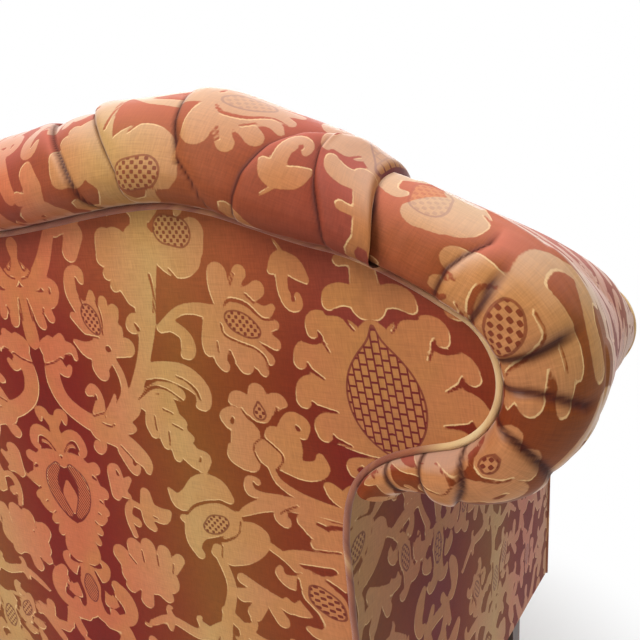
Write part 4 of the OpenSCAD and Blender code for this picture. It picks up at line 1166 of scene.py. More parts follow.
@dataclass
class Back:
    """The back's covers: the flat outside, its welt, and one cover over crest and inside."""

    fine_x: float = -300.0
    fine_step: float = 1.8
    coarse_step: float = 5.4
    roll_end_x: float = 690.0
    wing_x: float = 648.0
    wing_v: float = -12.0
    hem_slant: float = 22.0
    askew: float = 0.11
    askew_from: float = 590.0
    cloth_top: float = 126.0
    pleats: tuple[Pleat, ...] = (
        Pleat((0.0, 26.0, 48.0, 69.0, 90.0), (595.0, 596.0, 604.0, 618.0, 648.0), 3.0, 14.0),
        Pleat((0.0, 10.0, 24.0, 47.0, 80.0), (582.0, 570.0, 551.0, 542.0, 535.0), 3.2, 14.0),
        Pleat((0.0, 16.0, 44.0, 100.0), (506.0, 504.0, 484.0, 442.0), 3.4, 14.0),
        Pleat((0.0, 30.0, 90.0), (470.0, 452.0, 404.0), 2.6, -12.0),
        Pleat((4.0, 30.0, 60.0), (662.0, 652.0, 640.0), 2.6, 9.0),
    )

    def outline(self, inset: float) -> Array:
        """Closed outline of the whole back, drawn in by the inset, clockwise from behind the middle."""
        half = SHAPE.half_outline()
        half = half - inset * outward(half)
        half[-1, 1] = SHAPE.foot_v + inset
        left = half[::-1] * np.array([-1.0, 1.0])
        return np.concatenate([left[:-1], half])

    def outside(self) -> bpy.types.Object:
        """Makes the flat outside back, drawn tight over the frame with a slight fullness.

        The cloth stands 2 mm behind the frame in the middle, w = -2·(1 - exp(-d/30)) with d the depth
        under the crest, and slow waves of half a millimetre run over it. A ridge marks the seam on the
        artichoke's axis. The cloth leans with the ridge beyond askew_from.
        """
        outline = self.outline(1.2)
        reach, top = outline.max(axis=0) + 1.0
        xs = spread(-reach, self.fine_x, reach, self.fine_step, self.coarse_step)
        ys = -spread(-top, 270.0, -SHAPE.foot_v, self.fine_step, self.coarse_step)[::-1]
        points, faces = flat_panel(outline, xs, ys)
        x, v = points[:, 0], points[:, 1]
        depth = np.clip(SHAPE.crest_v(x) - v, 0.0, 60.0)
        w = -2.0 * (1.0 - np.exp(-depth / 30.0)) - 0.5 * ripple(x, v, 3, 320.0)
        askew = self.askew * (v + 33.0)
        w = w + 1.1 * np.exp(-np.abs(np.abs(x) + askew - 2 * HALF_REPEAT) / 1.6)
        on_cloth = x + np.sign(x) * askew * ease((np.abs(x) - self.askew_from) / 60.0)
        piece = Piece("outside_back_cover")
        piece.add(SHAPE.from_back(x, v, w), np.stack([on_cloth, v], axis=-1), faces)
        obj = piece.make("damask", "root")
        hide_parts("outside_back")
        return obj

    def welt(self) -> bpy.types.Object:
        """Makes the welt round the outside back."""
        path = respaced(self.outline(0.0), 4.0)
        wave = 0.35 * ripple(path[:, 0], path[:, 1], 8, 60.0)
        line = SHAPE.from_back(path[:, 0], path[:, 1], -1.2 - wave)
        forward = np.array([0.0, -math.cos(SHAPE.rake), math.sin(SHAPE.rake)])
        piece = Piece("outside_back_welt_cord")
        piece.add(*tube(line, SHAPE.welt_r, forward, closed=True))
        obj = piece.make("welt_cloth", "root", patterned=False)
        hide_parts("outside_back_welt")
        return obj

    def columns(self) -> Array:
        """Places across the cover: fine over the pleats in view, with a pair on each side of the arms."""
        left = -spread(0.0, -self.fine_x, self.roll_end_x, self.coarse_step, self.fine_step)[::-1]
        right = spread(0.0, 500.0, self.roll_end_x, self.coarse_step, self.coarse_step)
        pair = SHAPE.half_seat + np.array([-2.5, 2.5])
        x = np.unique(np.concatenate([left, right, -pair, pair]).round(3))
        return x[np.abs(np.abs(x) - SHAPE.half_seat) > 2.0]

    def roll(self, x: Array) -> tuple[Array, Array]:
        """The crest roll from the welt over the top to the front, pleated, and the painted shade of each
        point.

        The roll thins beyond the arms, rounds in over its last 6 mm and slants outwards at its hem.
        """
        past = np.abs(x)
        path = np.stack([x, SHAPE.crest_v(x)], axis=-1)
        normal = outward(path)
        turn = turns(180.0, 78)
        thin = 23.0 * np.clip((past - SHAPE.half_seat) / 140.0, 0.0, 1.0) ** 1.7
        end = np.clip((past - self.roll_end_x) / 6.0 + 1.0, 0.0, 1.0)
        width = SHAPE.roll_w - thin - 9.0 * (1.0 - np.sqrt(1.0 - end**2))
        middle = (SHAPE.pad_edge_w - SHAPE.roll_behind) / 2
        out, forward = roll_shape(turn, width, SHAPE.roll_behind, middle)
        lift, dark = self.folds(past[None, :], turn)
        lift = lift + 1.3 * ripple(x[None, :], turn * 1.3, 21, 170.0) * np.sin(np.radians(turn))
        way = unit(np.stack(np.broadcast_arrays(out * 0.65, forward - middle), axis=-1))
        out, forward = out + lift * way[..., 0], forward + lift * way[..., 1]
        slant = self.hem_slant * ease((past - 630.0) / 60.0) * ease(turn / 80.0)
        px = path[:, 0] + out * normal[:, 0] - np.sign(x) * slant
        pv = SHAPE.crest_v(past - slant) + out * normal[:, 1]
        return SHAPE.from_back(px, pv, forward), dark

    def inside(self, x: Array) -> Array:
        """The inside back from the crest down to the deck, and beyond the arms down to their tops."""
        past = np.abs(x)
        crest = SHAPE.crest_v(x)
        foot = np.where(past < SHAPE.half_seat, SHAPE.pad_foot_v, self.wing_v)
        foot = np.where(past > self.wing_x, crest - 40.0, foot)
        share = np.linspace(0.0, 1.0, 84)[1:, None]
        v = mix(crest, foot, share)
        up = (v - SHAPE.pad_foot_v) / (crest - SHAPE.pad_foot_v)
        w = self.pad_front(x[None, :], up) + 1.6 * ripple(x[None, :], v, 33, 260.0) * share
        w = w - 13.0 * np.exp(-np.abs(SHAPE.half_seat - past) / 10.0) * (v < self.wing_v)
        return SHAPE.from_back(x, v, w)

    def pad_front(self, x: Array, share: Array) -> Array:
        """How far forward the inside back stands at x, share of the way up: fullest in the middle."""
        near = 1.0 - ease((np.abs(x) - 490.0) / 60.0)
        across = 1.0 - np.minimum(1.0, np.abs(x) / SHAPE.half_seat) ** 4
        bulge = across * (1.0 - np.abs(2 * share - 1) ** 3)
        return SHAPE.pad_edge_w + 8.0 * (1.0 - share) * near + SHAPE.crown * bulge

    def cover(self) -> bpy.types.Object:
        """Makes the cover of the crest roll and of the inside back in one piece of cloth."""
        x = self.columns()
        roll, dark = self.roll(x)
        front = self.inside(x)
        points = np.concatenate([roll, front])
        down = lengths_along(points[:, len(x) // 2])
        cloth = np.stack(np.broadcast_arrays(x, self.cloth_top - down[:, None]), axis=-1)
        piece = Piece("back_cover")
        piece.sheet(Sheet(points, cloth, np.concatenate([dark, np.zeros(front.shape[:2])])), flip=True)
        obj = piece.make("damask", "root")
        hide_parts("back_roll", "inside_back")
        return obj

    def folds(self, x: Array, turn: Array) -> tuple[Array, Array]:
        """Heights and painted shadow lines of the pleats at the distances x from the middle, turn degrees
        round.
        """
        lift, dark = tucks(self.pleats, x, turn)
        # Painted shade: the roll's underside by the welt is darkened, fading over the first 22 degrees round.
        dark = np.maximum(dark, 0.5 * np.exp(-((turn / 22.0) ** 2)))
        gathers = 0.5 * np.sin(x / 3.1 + 2.0 * ripple(x, np.zeros(1), 5, 90.0))
        return lift + gathers * np.exp(-turn / 9.0), dark

    def build(self) -> list[bpy.types.Object]:
        """Makes all the back's covers and returns them."""
        return [self.outside(), self.welt(), self.cover()]


# The arms


@dataclass
class Arm:
    """One arm: the roll round the back's end, the scroll and inside cover, the outside and the front."""

    right: bool
    fine: bool
    tail_w: float = 30.0
    tuck_in: float = 34.0
    path_start_x: float = 672.0
    path_end_v: float = -98.0
    run_length: float = 640.0
    rim_fall: float = 0.10
    rim_share: float = 0.42
    cloth_start: tuple[float, float] = (79.0, 113.0)
    pleats: tuple[Pleat, ...] = (
        Pleat((8.0, 24.0, 38.0, 56.0), (58.0, 57.0, 61.0, 68.0), 4.6, 11.0),
        Pleat((0.0, 23.0, 44.0), (107.0, 109.0, 108.0), 4.4, -8.0),
        Pleat((0.0, 14.0, 86.0), (143.0, 147.0, 166.0), 3.2, 8.0),
        Pleat((0.0, 20.0, 60.0), (122.0, 124.0, 132.0), 2.4, 6.0),
        Pleat((0.0, 30.0), (84.0, 80.0), 2.0, 6.0),
        Pleat((0.0, 45.0, 70.0), (176.0, 194.0, 204.0), 3.4, 8.0),
        Pleat((0.0, 40.0, 80.0), (206.0, 216.0, 226.0), 3.0, -8.0),
        Pleat((0.0, 40.0), (236.0, 242.0), 2.4, 6.0),
        # No depth: this pleat only paints a shadow line along the hem of the crest roll's end.
        Pleat((0.0, 40.0, 80.0, 100.0), (13.0, 5.0, -9.0, -11.0), 0.0, 8.0),
    )

    @property
    def side(self) -> str:
        """Name of the side."""
        return "right" if self.right else "left"

    def put(self, piece: Piece, sheet: Sheet, flip: bool = False) -> None:
        """Adds a sheet made for the right arm to the piece, mirrored for the left one."""
        if self.right:
            piece.sheet(sheet, flip=flip)
        else:
            piece.sheet(mirrored(sheet), flip=not flip)

    def end_path(self, count: int) -> tuple[Array, Array, Array]:
        """The outline from under the crest roll's end to the tail below the lobe.

        Args:
            count: number of points.

        Returns:
            Points, outward directions and the roll's width at each of them.
        """
        half = SHAPE.half_outline()
        start = int(np.argmax(half[:, 0] > self.path_start_x - self.tuck_in))
        beyond = half[:, 0] > SHAPE.half_seat + 150.0
        stop = int(np.argmin(np.abs(half[:, 1] - self.path_end_v) + 1e3 * beyond))
        path = respaced(half[start:stop + 1], 0.5)
        normal = outward(path)
        pick = np.linspace(0, len(path) - 1, count).round().astype(int)
        t = np.linspace(0.0, 1.0, count)
        early = mix(50.0, 55.0, ease((t - 0.20) / 0.28))
        width = mix(early, self.tail_w, ease((t - 0.66) / 0.34))
        return path[pick], normal[pick], width

    def section(self, t: Array, columns: int) -> Array:
        """Scroll of the arm at the stations t, from its top round to the tail above the outside arm.

        Behind, the lower half of the circle is drawn in by up to 27 %.

        Args:
            t: stations from 0 behind to 1 in front.
            columns: number of points round the scroll.

        Returns:
            Distances across and heights, stations by columns by two.
        """
        rings = []
        for share in t:
            cx = SHAPE.half_seat + mix(*SHAPE.scroll_out, share)
            cz = SHAPE.arm_line + mix(*SHAPE.scroll_rise, share)
            r = mix(*SHAPE.scroll_r, share)
            out = SHAPE.half_seat + mix(*SHAPE.arm_t, share)
            turn = np.linspace(90.0, -108.0, 40)
            reach = r * (1.0 - 0.27 * (1.0 - share) * ease((turn - 12.0) / 70.0))
            turn = np.radians(turn)
            circle = np.stack([cx + reach * np.cos(turn), cz + reach * np.sin(turn)], axis=-1)
            below = cz - r
            ends = [(out + 16.0, below - 2.0), (out + 3.0, below - 12.0), (out, below - 28.0)]
            tail = curve([circle[-1], *ends], 12)
            fine = respaced(np.concatenate([circle, tail[1:]]), 1.0)
            rings.append(fine[np.linspace(0, len(fine) - 1, columns).round().astype(int)])
        return np.array(rings)

    def station_y(self, t: Array, z: Array) -> Array:
        """World Y of the stations t at the heights z: leaning behind, upright in front."""
        rear = SHAPE.layer_y(np.array(SHAPE.arm_line), SHAPE.frame_front)
        lean = (z - SHAPE.arm_line) * math.tan(SHAPE.rake) * (1.0 - t)
        return mix(rear, SHAPE.arm_front_y + 5.0, t) + lean

    def ring(self, columns: int) -> tuple[Array, Array, Array]:
        """The pleated roll round the end of the back, from the welt to the roll's widest line.

        Args:
            columns: number of points along the outline.

        Returns:
            Points, the painted shade of each of them, and the length along the outline at each column.
        """
        path, normal, width = self.end_path(columns)
        turn = turns(90.0, 34)
        behind = width * SHAPE.roll_behind / SHAPE.roll_w
        out, forward = roll_shape(turn, width, behind, SHAPE.frame_front)
        length = lengths_along(path) - self.tuck_in
        lift, dark = self.ring_folds(length[None, :], turn)
        lift = lift * np.clip(width / 60.0, 0.2, 1.0) * np.clip(turn / 12.0, 0.1, 1.0)
        out = out + lift * np.sin(np.radians(turn)) * 0.8
        forward = forward - lift * np.cos(np.radians(turn))
        points = SHAPE.from_back(path[:, 0] + out * normal[:, 0], path[:, 1] + out * normal[:, 1], forward)
        return points, dark, length

    def scroll(self, rim: Array, t: Array) -> Array:
        """The scroll at the stations t: it starts as the rim of the ring and turns into the arm's section.

        Each point moves from the rim, carried forward and down, to its section over the first stations.
        """
        run = self.run_length * t[:, None]
        section = self.section(t, len(rim))
        y = self.station_y(t[:, None], section[..., 1])
        whole = np.stack([section[..., 0], y, section[..., 1]], axis=-1)
        carried = rim - run[..., None] * np.array([0.0, 1.0, self.rim_fall])
        points = mix(carried, whole, ease(t / self.rim_share)[:, None, None])
        lift = self.scroll_folds(run, np.linspace(0.0, 1.0, len(rim))[None, :])
        way = unit(np.cross(np.gradient(points, axis=0), np.gradient(points, axis=1)))
        outwards = math.copysign(1.0, way[20, len(rim) // 3, 0])
        return points + way * lift[..., None] * outwards

    def cover(self) -> bpy.types.Object:
        """Makes the cover of the arm: the ring round the back's end, the scroll and the inside."""
        ring, dark, length = self.ring(190 if self.fine else 110)
        t = np.concatenate([np.linspace(0.0, 0.35, 90), np.linspace(0.35, 1.0, 80)[1:]])[1:]
        scroll = self.scroll(ring[-1], t)
        points = np.concatenate([ring, scroll])
        along = lengths_along(points[:, len(length) // 3])
        u, v = self.cloth_start
        cloth = np.stack(np.broadcast_arrays(along[:, None] + u, v - length[None, :]), axis=-1)
        piece = Piece(f"arm_cover_{self.side}")
        self.put(piece, Sheet(points, cloth, np.concatenate([dark, np.zeros(scroll.shape[:2])])))
        edge, edge_cloth = points[len(ring) - 1:, -1], cloth[len(ring) - 1:, -1:]
        self.put(piece, self.underside(edge, edge_cloth))
        self.put(piece, self.inside(scroll[:, 0], t, along[len(ring):]))
        obj = piece.make("damask", "root")
        weld(obj)
        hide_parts(f"arm_{self.side}", f"arm_end_roll_{self.side}")
        return obj

    def underside(self, edge: Array, edge_cloth: Array) -> Sheet:
        """The strip under the roll that runs in from the scroll's lower edge to the outside arm."""
        inner = edge + np.array([0.0, 0.0, 3.0])
        inner[:, 0] = SHAPE.half_seat + SHAPE.arm_t[0] - 4.0
        rows = np.arange(5)[None, :, None]
        points = mix(edge[:, None], inner[:, None], rows / 4)
        return Sheet(points, edge_cloth - np.array([0.0, 6.0]) * rows)

    def inside(self, top: Array, t: Array, along: Array) -> Sheet:
        """The inside of the arm: a wall up from the deck, and a quarter ellipse up to the scroll's top.

        Args:
            top: points along the top of the scroll, one for each station.
            t: the stations.
            along: cloth length along the arm at the stations.

        Returns:
            The sheet, its first column at the deck.
        """
        turn = np.radians(np.linspace(180.0, 90.0, 34))[1:]
        peak_x, peak_y, peak_z = (top[:, k:k + 1] for k in range(3))
        start = peak_z - SHAPE.arm_top_b
        wall = mix(SHAPE.seat_z - 4.0, start, np.linspace(0.0, 1.0, 26))
        bend = peak_x + (peak_x - SHAPE.half_seat) * np.cos(turn)
        x = np.concatenate([np.full_like(wall, SHAPE.half_seat), bend], axis=1)
        z = np.concatenate([wall, start + SHAPE.arm_top_b * np.sin(turn)], axis=1)
        y = peak_y + (z - peak_z) * math.tan(SHAPE.rake) * (1.0 - t[:, None])
        points = np.stack([x, y, z], axis=-1)
        up = np.linspace(0.0, 1.0, x.shape[1])
        wave = 1.8 * ripple(y, z, 51, 240.0) * np.sin(np.pi * up) ** 0.5
        points[..., 0] -= np.maximum(wave, -3.0) * (1.0 - up) ** 0.5 * 0.6
        down = lengths_along(points[40])
        u, v = self.cloth_start
        cloth = np.stack(np.broadcast_arrays(along[:, None] + u, v + down[-1] - down), axis=-1)
        return Sheet(points, cloth)

    def ring_folds(self, along: Array, turn: Array) -> tuple[Array, Array]:
        """Heights and painted shadow lines of the pleats round the end of the back, and gathers at the welt.
        """
        lift, dark = tucks(self.pleats, along, turn)
        # Painted shade by the welt, fading over the first 16 degrees round the roll.
        dark = np.maximum(dark, 0.32 * np.exp(-((turn / 16.0) ** 2)))
        gathers = 0.7 * np.sin(along / 2.3 + 1.5 * ripple(along, np.zeros(1), 9, 60.0))
        return lift + gathers * np.exp(-turn / 16.0), dark

    def scroll_folds(self, run: Array, around: Array) -> Array:
        """Soft waves of the scroll: fading pleats behind, drag lines at the front.

        Args:
            run: distances along the arm.
            around: ways round the scroll, from 0 to 1.

        Returns:
            Heights in millimetres.
        """
        girth = 330.0
        lift = np.zeros(np.broadcast(run, around).shape)
        for start, depth in ((0.14, 2.6), (0.27, 3.4), (0.38, 3.0), (0.49, 3.4), (0.58, 2.6), (0.67, 2.6)):
            fold = crease((around - start) * girth + run * 0.04, depth, 9.0)
            lift = lift + fold * np.exp(-run / 70.0) * 0.45
        lift = lift + 1.4 * ripple(run, around * girth, 61, 260.0) * np.clip(run / 60.0, 0.0, 1.0)
        front = np.clip((run - 560.0) / 80.0, 0.0, 1.0)
        drag = np.sin(around * 46.0 + 1.2 * ripple(around * girth, np.zeros_like(run), 71, 90.0))
        return lift + (0.9 * drag - 1.5) * front

    def facing_outline(self) -> Array:
        """Outline of the front facing as (x, z): up the inner side, over the scroll and down outside."""
        line = self.section(np.array([1.0]), 90)[0]
        top_x, top_z = line[0]
        turn = np.radians(np.linspace(180.0, 92.0, 24))
        start = top_z - SHAPE.arm_top_b
        inner = SHAPE.half_seat + SHAPE.welt_r
        bend_x = top_x + (top_x - inner) * np.cos(turn)
        bend = np.stack([bend_x, start + SHAPE.arm_top_b * np.sin(turn)], axis=-1)
        wall = np.stack([np.full(30, inner), np.linspace(SHAPE.leg_h, start, 30)], axis=-1)
        foot = np.array([[line[-1][0], SHAPE.leg_h]])
        return np.concatenate([wall[:-1], bend, line[1:], foot])

    def facing(self) -> list[bpy.types.Object]:
        """Makes the flat front of the arm and the welt round it."""
        sign = 1.0 if self.right else -1.0
        outline = self.facing_outline()
        inset = respaced(outline, 3.0)
        inset = inset - 1.6 * outward(inset)
        low, high = inset.min(axis=0) - 1.0, inset.max(axis=0) + 1.0
        step = 3.4
        points, faces = flat_panel(inset, np.arange(low[0], high[0], step), np.arange(low[1], high[1], step))
        x, z = points[:, 0], points[:, 1]
        y = SHAPE.arm_front_y - 1.0 + 0.4 * ripple(x, z, 5, 120.0)
        piece = Piece(f"arm_facing_cover_{self.side}")
        cloth = np.stack([x + 40.0, z - SHAPE.arm_line], axis=-1)
        piece.add(np.stack([x * sign, y, z], axis=-1), cloth, faces if self.right else faces[:, ::-1])
        panel = piece.make("damask", "root")
        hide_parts(f"arm_facing_{self.side}")
        loop = respaced(outline, step)
        line = np.stack([loop[:, 0] * sign, np.full(len(loop), SHAPE.arm_front_y + 2.0), loop[:, 1]], axis=-1)
        cord = Piece(f"arm_facing_welt_{self.side}")
        cord.add(*tube(line, SHAPE.welt_r, np.array([0.0, 1.0, 0.0]), closed=False))
        welt = cord.make("welt_cloth", "root", patterned=False)
        if self.right:
            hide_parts("arm_facing_welts")
        return [panel, welt]

    def outside(self) -> bpy.types.Object:
        """Makes the flat outside of the arm, from under the scroll to the lower edge."""
        t = np.linspace(0.0, 1.0, 150)[:, None]
        tail = self.section(t[:, 0], 30)[:, -1:]
        share = np.linspace(0.0, 1.0, 84)[None, :]
        top = tail[..., 1] + 22.0 + 60.0 * (1.0 - ease(t / self.rim_share))
        z = mix(top, SHAPE.leg_h, share)
        y = mix(SHAPE.layer_y(z, 0.5), SHAPE.arm_front_y + 3.0, t)
        puff = 1.6 * np.sin(np.pi * share) * np.sin(np.pi * t) + 0.4 * ripple(y, z, 77, 260.0)
        piece = Piece(f"outside_arm_cover_{self.side}")
        cloth = np.stack([100.0 - y, z - SHAPE.arm_line], axis=-1)
        self.put(piece, Sheet(np.stack([tail[..., 0] + puff, y, z], axis=-1), cloth))
        obj = piece.make("damask", "root")
        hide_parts(f"outside_arm_{self.side}")
        return obj

    def build(self) -> list[bpy.types.Object]:
        """Makes all the covers of the arm and returns them."""
        return [self.cover(), *self.facing(), self.outside()]


def weld(obj: bpy.types.Object) -> None:
    """Joins points of a mesh that lie in one place, so sheets that share an edge shade as one."""
    mesh = bmesh.new()
    mesh.from_mesh(obj.data)
    bmesh.ops.remove_doubles(mesh, verts=mesh.verts, dist=2e-5)
    mesh.to_mesh(obj.data)
    mesh.free()


def places_of(mesh: bpy.types.Mesh) -> Array:
    """Returns the places of a mesh's points in metres."""
    flat = np.empty(3 * len(mesh.vertices), dtype=np.float32)
    mesh.vertices.foreach_get("co", flat)
    return flat.reshape(-1, 3).astype(float)


def settle(obj: bpy.types.Object) -> None:
    """Replaces an object's mesh by the one its modifiers make, and takes them off."""
    graph = bpy.context.evaluated_depsgraph_get()
    mesh = bpy.data.meshes.new_from_object(obj.evaluated_get(graph))
    obj.modifiers.clear()
    obj.vertex_groups.clear()
    old, obj.data = obj.data, mesh
    bpy.data.meshes.remove(old)
    mesh.name = obj.name


def fill_out(obj: bpy.types.Object, pinned: Array, pressure: float, reach: float) -> None:
    """Fills a cover out with a short cloth simulation under pressure, without gravity.

    Args:
        obj: the cover.
        pinned: which points stay, such as those at the seams.
        pressure: pressure inside.
        reach: the most that a point may move, in metres.
    """
    rest = places_of(obj.data)
    pins = obj.vertex_groups.new(name="pins")
    pins.add(np.flatnonzero(pinned).tolist(), 1.0, "REPLACE")
    cloth = obj.modifiers.new("cloth", "CLOTH")
    cloth.settings.vertex_group_mass = "pins"
    cloth.settings.use_pressure = True
    cloth.settings.uniform_pressure_force = pressure
    cloth.settings.shrink_min = -0.025
    cloth.settings.effector_weights.gravity = 0.0
    cloth.settings.quality = 4
    scene = bpy.context.scene
    for frame in range(1, 21):
        scene.frame_set(frame)
    moved = places_of(obj.evaluated_get(bpy.context.evaluated_depsgraph_get()).data)
    scene.frame_set(1)
    obj.modifiers.clear()
    obj.vertex_groups.clear()
    step = moved - rest
    far = np.linalg.norm(step, axis=1, keepdims=True)
    step = step * np.minimum(1.0, reach / np.maximum(far, 1e-9))
    obj.data.vertices.foreach_set("co", (rest + step).astype(np.float32).ravel())
    obj.data.update()
    LOG.info("%s: filled out by up to %.1f mm", obj.name, float(far.max()) / MM)


# The seat


@dataclass
class Cushion:
    """A loose seat cushion: a foam box in a damask cover, with a welt round each seam."""

    right: bool
    gap: float = 1.5
    corner: float = 34.0
    draw_in: float = 4.0
    clear: float = 0.3
    height: float = 118.0
    crown: float = 13.0
    back_y: float = 132.0
    front_y: float = -362.0

    @property
    def side(self) -> str:
        """Name of the side."""
        return "right" if self.right else "left"

    @property
    def low(self) -> float:
        """Height of the lower seam."""
        return SHAPE.seat_z + self.clear + self.crown

    @property
    def high(self) -> float:
        """Height of the upper seam."""
        return SHAPE.seat_z + self.clear + self.height

    @property
    def middle(self) -> Array:
        """Middle of the cushion's plan."""
        across = SHAPE.half_seat / 2 * (1.0 if self.right else -1.0)
        return np.array([across, (self.back_y + self.front_y) / 2])

    @property
    def half(self) -> Array:
        """Halves of the cushion's width and depth."""
        return np.array([SHAPE.half_seat - self.gap, self.back_y - self.front_y]) / 2

    def plan(self, inset: float, step: float) -> Array:
        """Closed plan of the cushion, its sides drawn in between the corners, counter-clockwise.

        Each side bends in by draw_in·(1 - s²), with s from -1 to 1 along it, save the one at the back.
        """
        r = self.corner - inset / 2
        s = np.linspace(-1.0, 1.0, 40)
        a = np.radians(np.linspace(-90.0, 0.0, 12)[1:-1])
        parts = []
        for k in range(4):
            along, across = (self.half if k % 2 == 0 else self.half[::-1]) - inset
            pull = 0.0 if k == 2 else self.draw_in
            edge = np.stack([s * (along - r), -across + pull * (1 - s * s)], axis=-1)
            bend = np.stack([along - r + r * np.cos(a), -across + r + r * np.sin(a)], axis=-1)
            cos, sin = math.cos(math.radians(90.0 * k)), math.sin(math.radians(90.0 * k))
            parts.append(np.concatenate([edge, bend]) @ np.array([[cos, sin], [-sin, cos]]))
        path = np.concatenate([*parts, parts[0][:1]])
        return respaced(path, step)[:-1] + self.middle

    def on_cloth(self, points: Array) -> Array:
        """Places on the cloth: seen from above on the panels, and round the seams on the boxing."""
        cloth = points[:, :2] - self.middle + np.array([0.0, 90.0])
        boxing = (points[:, 2] > self.low + 1.0) & (points[:, 2] < self.high - 1.0)
        step = 2.6
        plan = self.plan(0.0, step)
        apart = (plan**2).sum(axis=1) - 2.0 * points[boxing, :2] @ plan.T
        along = np.argmin(apart, axis=1) * step
        half = len(plan) * step / 2
        cloth[boxing, 0] = np.mod(along + half, 2 * half) - half
        cloth[boxing, 1] = points[boxing, 2] - self.low - 60.0
        return cloth

    def cover(self) -> bpy.types.Object:
        """Makes the cover: boxing between the seams, and a crowned panel above and below.

        The crown is h·(1 - e^4)^0.6 with e the 8-norm of the distances from the middle as shares of the
        half sizes. A cloth simulation then fills the cover out between its seams.
        """
        plan = self.plan(0.0, 5.0)
        low, high = plan.min(axis=0) - 0.5, plan.max(axis=0) + 4.5
        flat, faces = flat_panel(plan, np.arange(low[0], high[0], 4.0), np.arange(low[1], high[1], 4.0))
        share = np.minimum(1.0, ((np.abs(flat - self.middle) / self.half) ** 8).sum(axis=1) ** 0.125)
        waves = 0.8 * ripple(flat[:, 0], flat[:, 1], 91 if self.right else 92, 180.0) * (1.0 - share**4)
        rise = self.crown * (1.0 - share**4) ** 0.6 + waves
        top = np.column_stack([flat, self.high + rise])
        below = np.column_stack([flat, self.low - rise * 0.96])
        t = np.linspace(0.0, 1.0, 22)[:, None]
        out = 1.0 + (2.2 * np.sin(np.pi * t) ** 0.7 - 2.0 * (t * (1 - t) > 0)) / self.half[0]
        ring = np.concatenate([plan, plan[:1]])[None, :]
        box = self.middle + (ring - self.middle) * out[..., None]
        height = np.broadcast_to(mix(self.high, self.low, t), box.shape[:2])
        box = np.concatenate([box, height[..., None]], axis=-1)
        piece = Piece(f"cushion_cover_{self.side}")
        piece.add(top, self.on_cloth(top), faces)
        piece.add(below, self.on_cloth(below), faces[:, ::-1])
        spots = self.on_cloth(box.reshape(-1, 3)).reshape(box.shape[:2] + (2,))
        piece.sheet(Sheet(box, spots), flip=True)
        obj = piece.make("damask", f"seat_cushion_{self.side}")
        weld(obj)
        self.stuff(obj)
        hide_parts(f"cushion_{self.side}")
        return obj

    def stuff(self, obj: bpy.types.Object) -> None:
        """Remeshes the cover evenly, fills it out between its seams and lays the cloth on it again."""
        even = obj.modifiers.new("even", "REMESH")
        even.mode = "VOXEL"
        even.voxel_size = 0.006
        settle(obj)
        points = places_of(obj.data) / MM
        from_seam = np.minimum(np.abs(points[:, 2] - self.high), np.abs(points[:, 2] - self.low))
        past = np.abs(points[:, :2] - self.middle) - self.half
        seam = (from_seam < 6.0) & (past.max(axis=1) > -14.0)
        fill_out(obj, seam, pressure=4.0, reach=0.005)
        obj.modifiers.new("finer", "SUBSURF").levels = 1
        settle(obj)
        cloth = self.on_cloth(places_of(obj.data) / MM)
        lay_cloth(obj.data, cloth)
        store_pattern(obj.data, cloth, np.zeros(len(cloth)))
        smooth(obj.data)
        LOG.info("%s: %d points after stuffing", obj.name, len(cloth))

    def welts(self) -> bpy.types.Object:
        """Makes the two welts, round the upper and the lower seam."""
        piece = Piece(f"cushion_welts_{self.side}_cord")
        plan = self.plan(1.6, 4.0)
        for z, seed in ((self.high, 3), (self.low, 4)):
            height = z + 0.5 * ripple(plan[:, 0], plan[:, 1], seed, 150.0)
            piece.add(*tube(np.column_stack([plan, height]), SHAPE.welt_r, UPWARDS, closed=True))
        obj = piece.make("welt_cloth", f"seat_cushion_{self.side}", patterned=False)
        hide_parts(f"cushion_welts_{self.side}")
        return obj

    def build(self) -> list[bpy.types.Object]:
        """Makes the cushion and its welts and returns them."""
        return [self.cover(), self.welts()]


@dataclass
class Front:
    """The border under the cushions, over the front rail, and its welt."""

    half: float = 549.7
    front_y: float = -362.0
    radius: float = 12.0

    def border(self) -> bpy.types.Object:
        """Makes the border's cloth: up the front rail and over its padded edge."""
        top = SHAPE.seat_z - 5.8 - self.radius
        turn = np.radians(np.linspace(180.0, 90.0, 16))[1:]
        wall = np.linspace(SHAPE.leg_h, top, 40)
        y = self.front_y + np.concatenate([np.zeros(40), self.radius * (1 + np.cos(turn))])
        z = np.concatenate([wall, top + self.radius * np.sin(turn)])
        x = np.linspace(-self.half, self.half, 300)[:, None]
        puff = 1.2 * np.sin(np.pi * np.clip((z - SHAPE.leg_h) / 130.0, 0, 1)) + 0.5 * ripple(x, z, 4, 220.0)
        points = np.stack(np.broadcast_arrays(x, y - puff, z), axis=-1)
        cloth = np.stack(np.broadcast_arrays(x, z - SHAPE.arm_line), axis=-1)
        piece = Piece("front_border_cover")
        piece.sheet(Sheet(points, cloth), flip=True)
        obj = piece.make("damask", "root")
        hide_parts("front_border")
        return obj

    def welt(self) -> bpy.types.Object:
        """Makes the welt along the top of the border."""
        x = np.arange(-self.half, self.half, 4.0)
        y = self.front_y + 6.0 + 0.4 * ripple(x, np.zeros(1), 6, 180.0)
        line = np.column_stack([x, y, np.full_like(x, SHAPE.seat_z - 2.9)])
        piece = Piece("front_border_welt_cord")
        piece.add(*tube(line, SHAPE.welt_r, UPWARDS, closed=False))
        obj = piece.make("welt_cloth", "root", patterned=False)
        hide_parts("front_border_welt")
        return obj

    def build(self) -> list[bpy.types.Object]:
        """Makes the border and its welt and returns them."""
        return [self.border(), self.welt()]


# Finishes


Value = bpy.types.NodeSocket | float


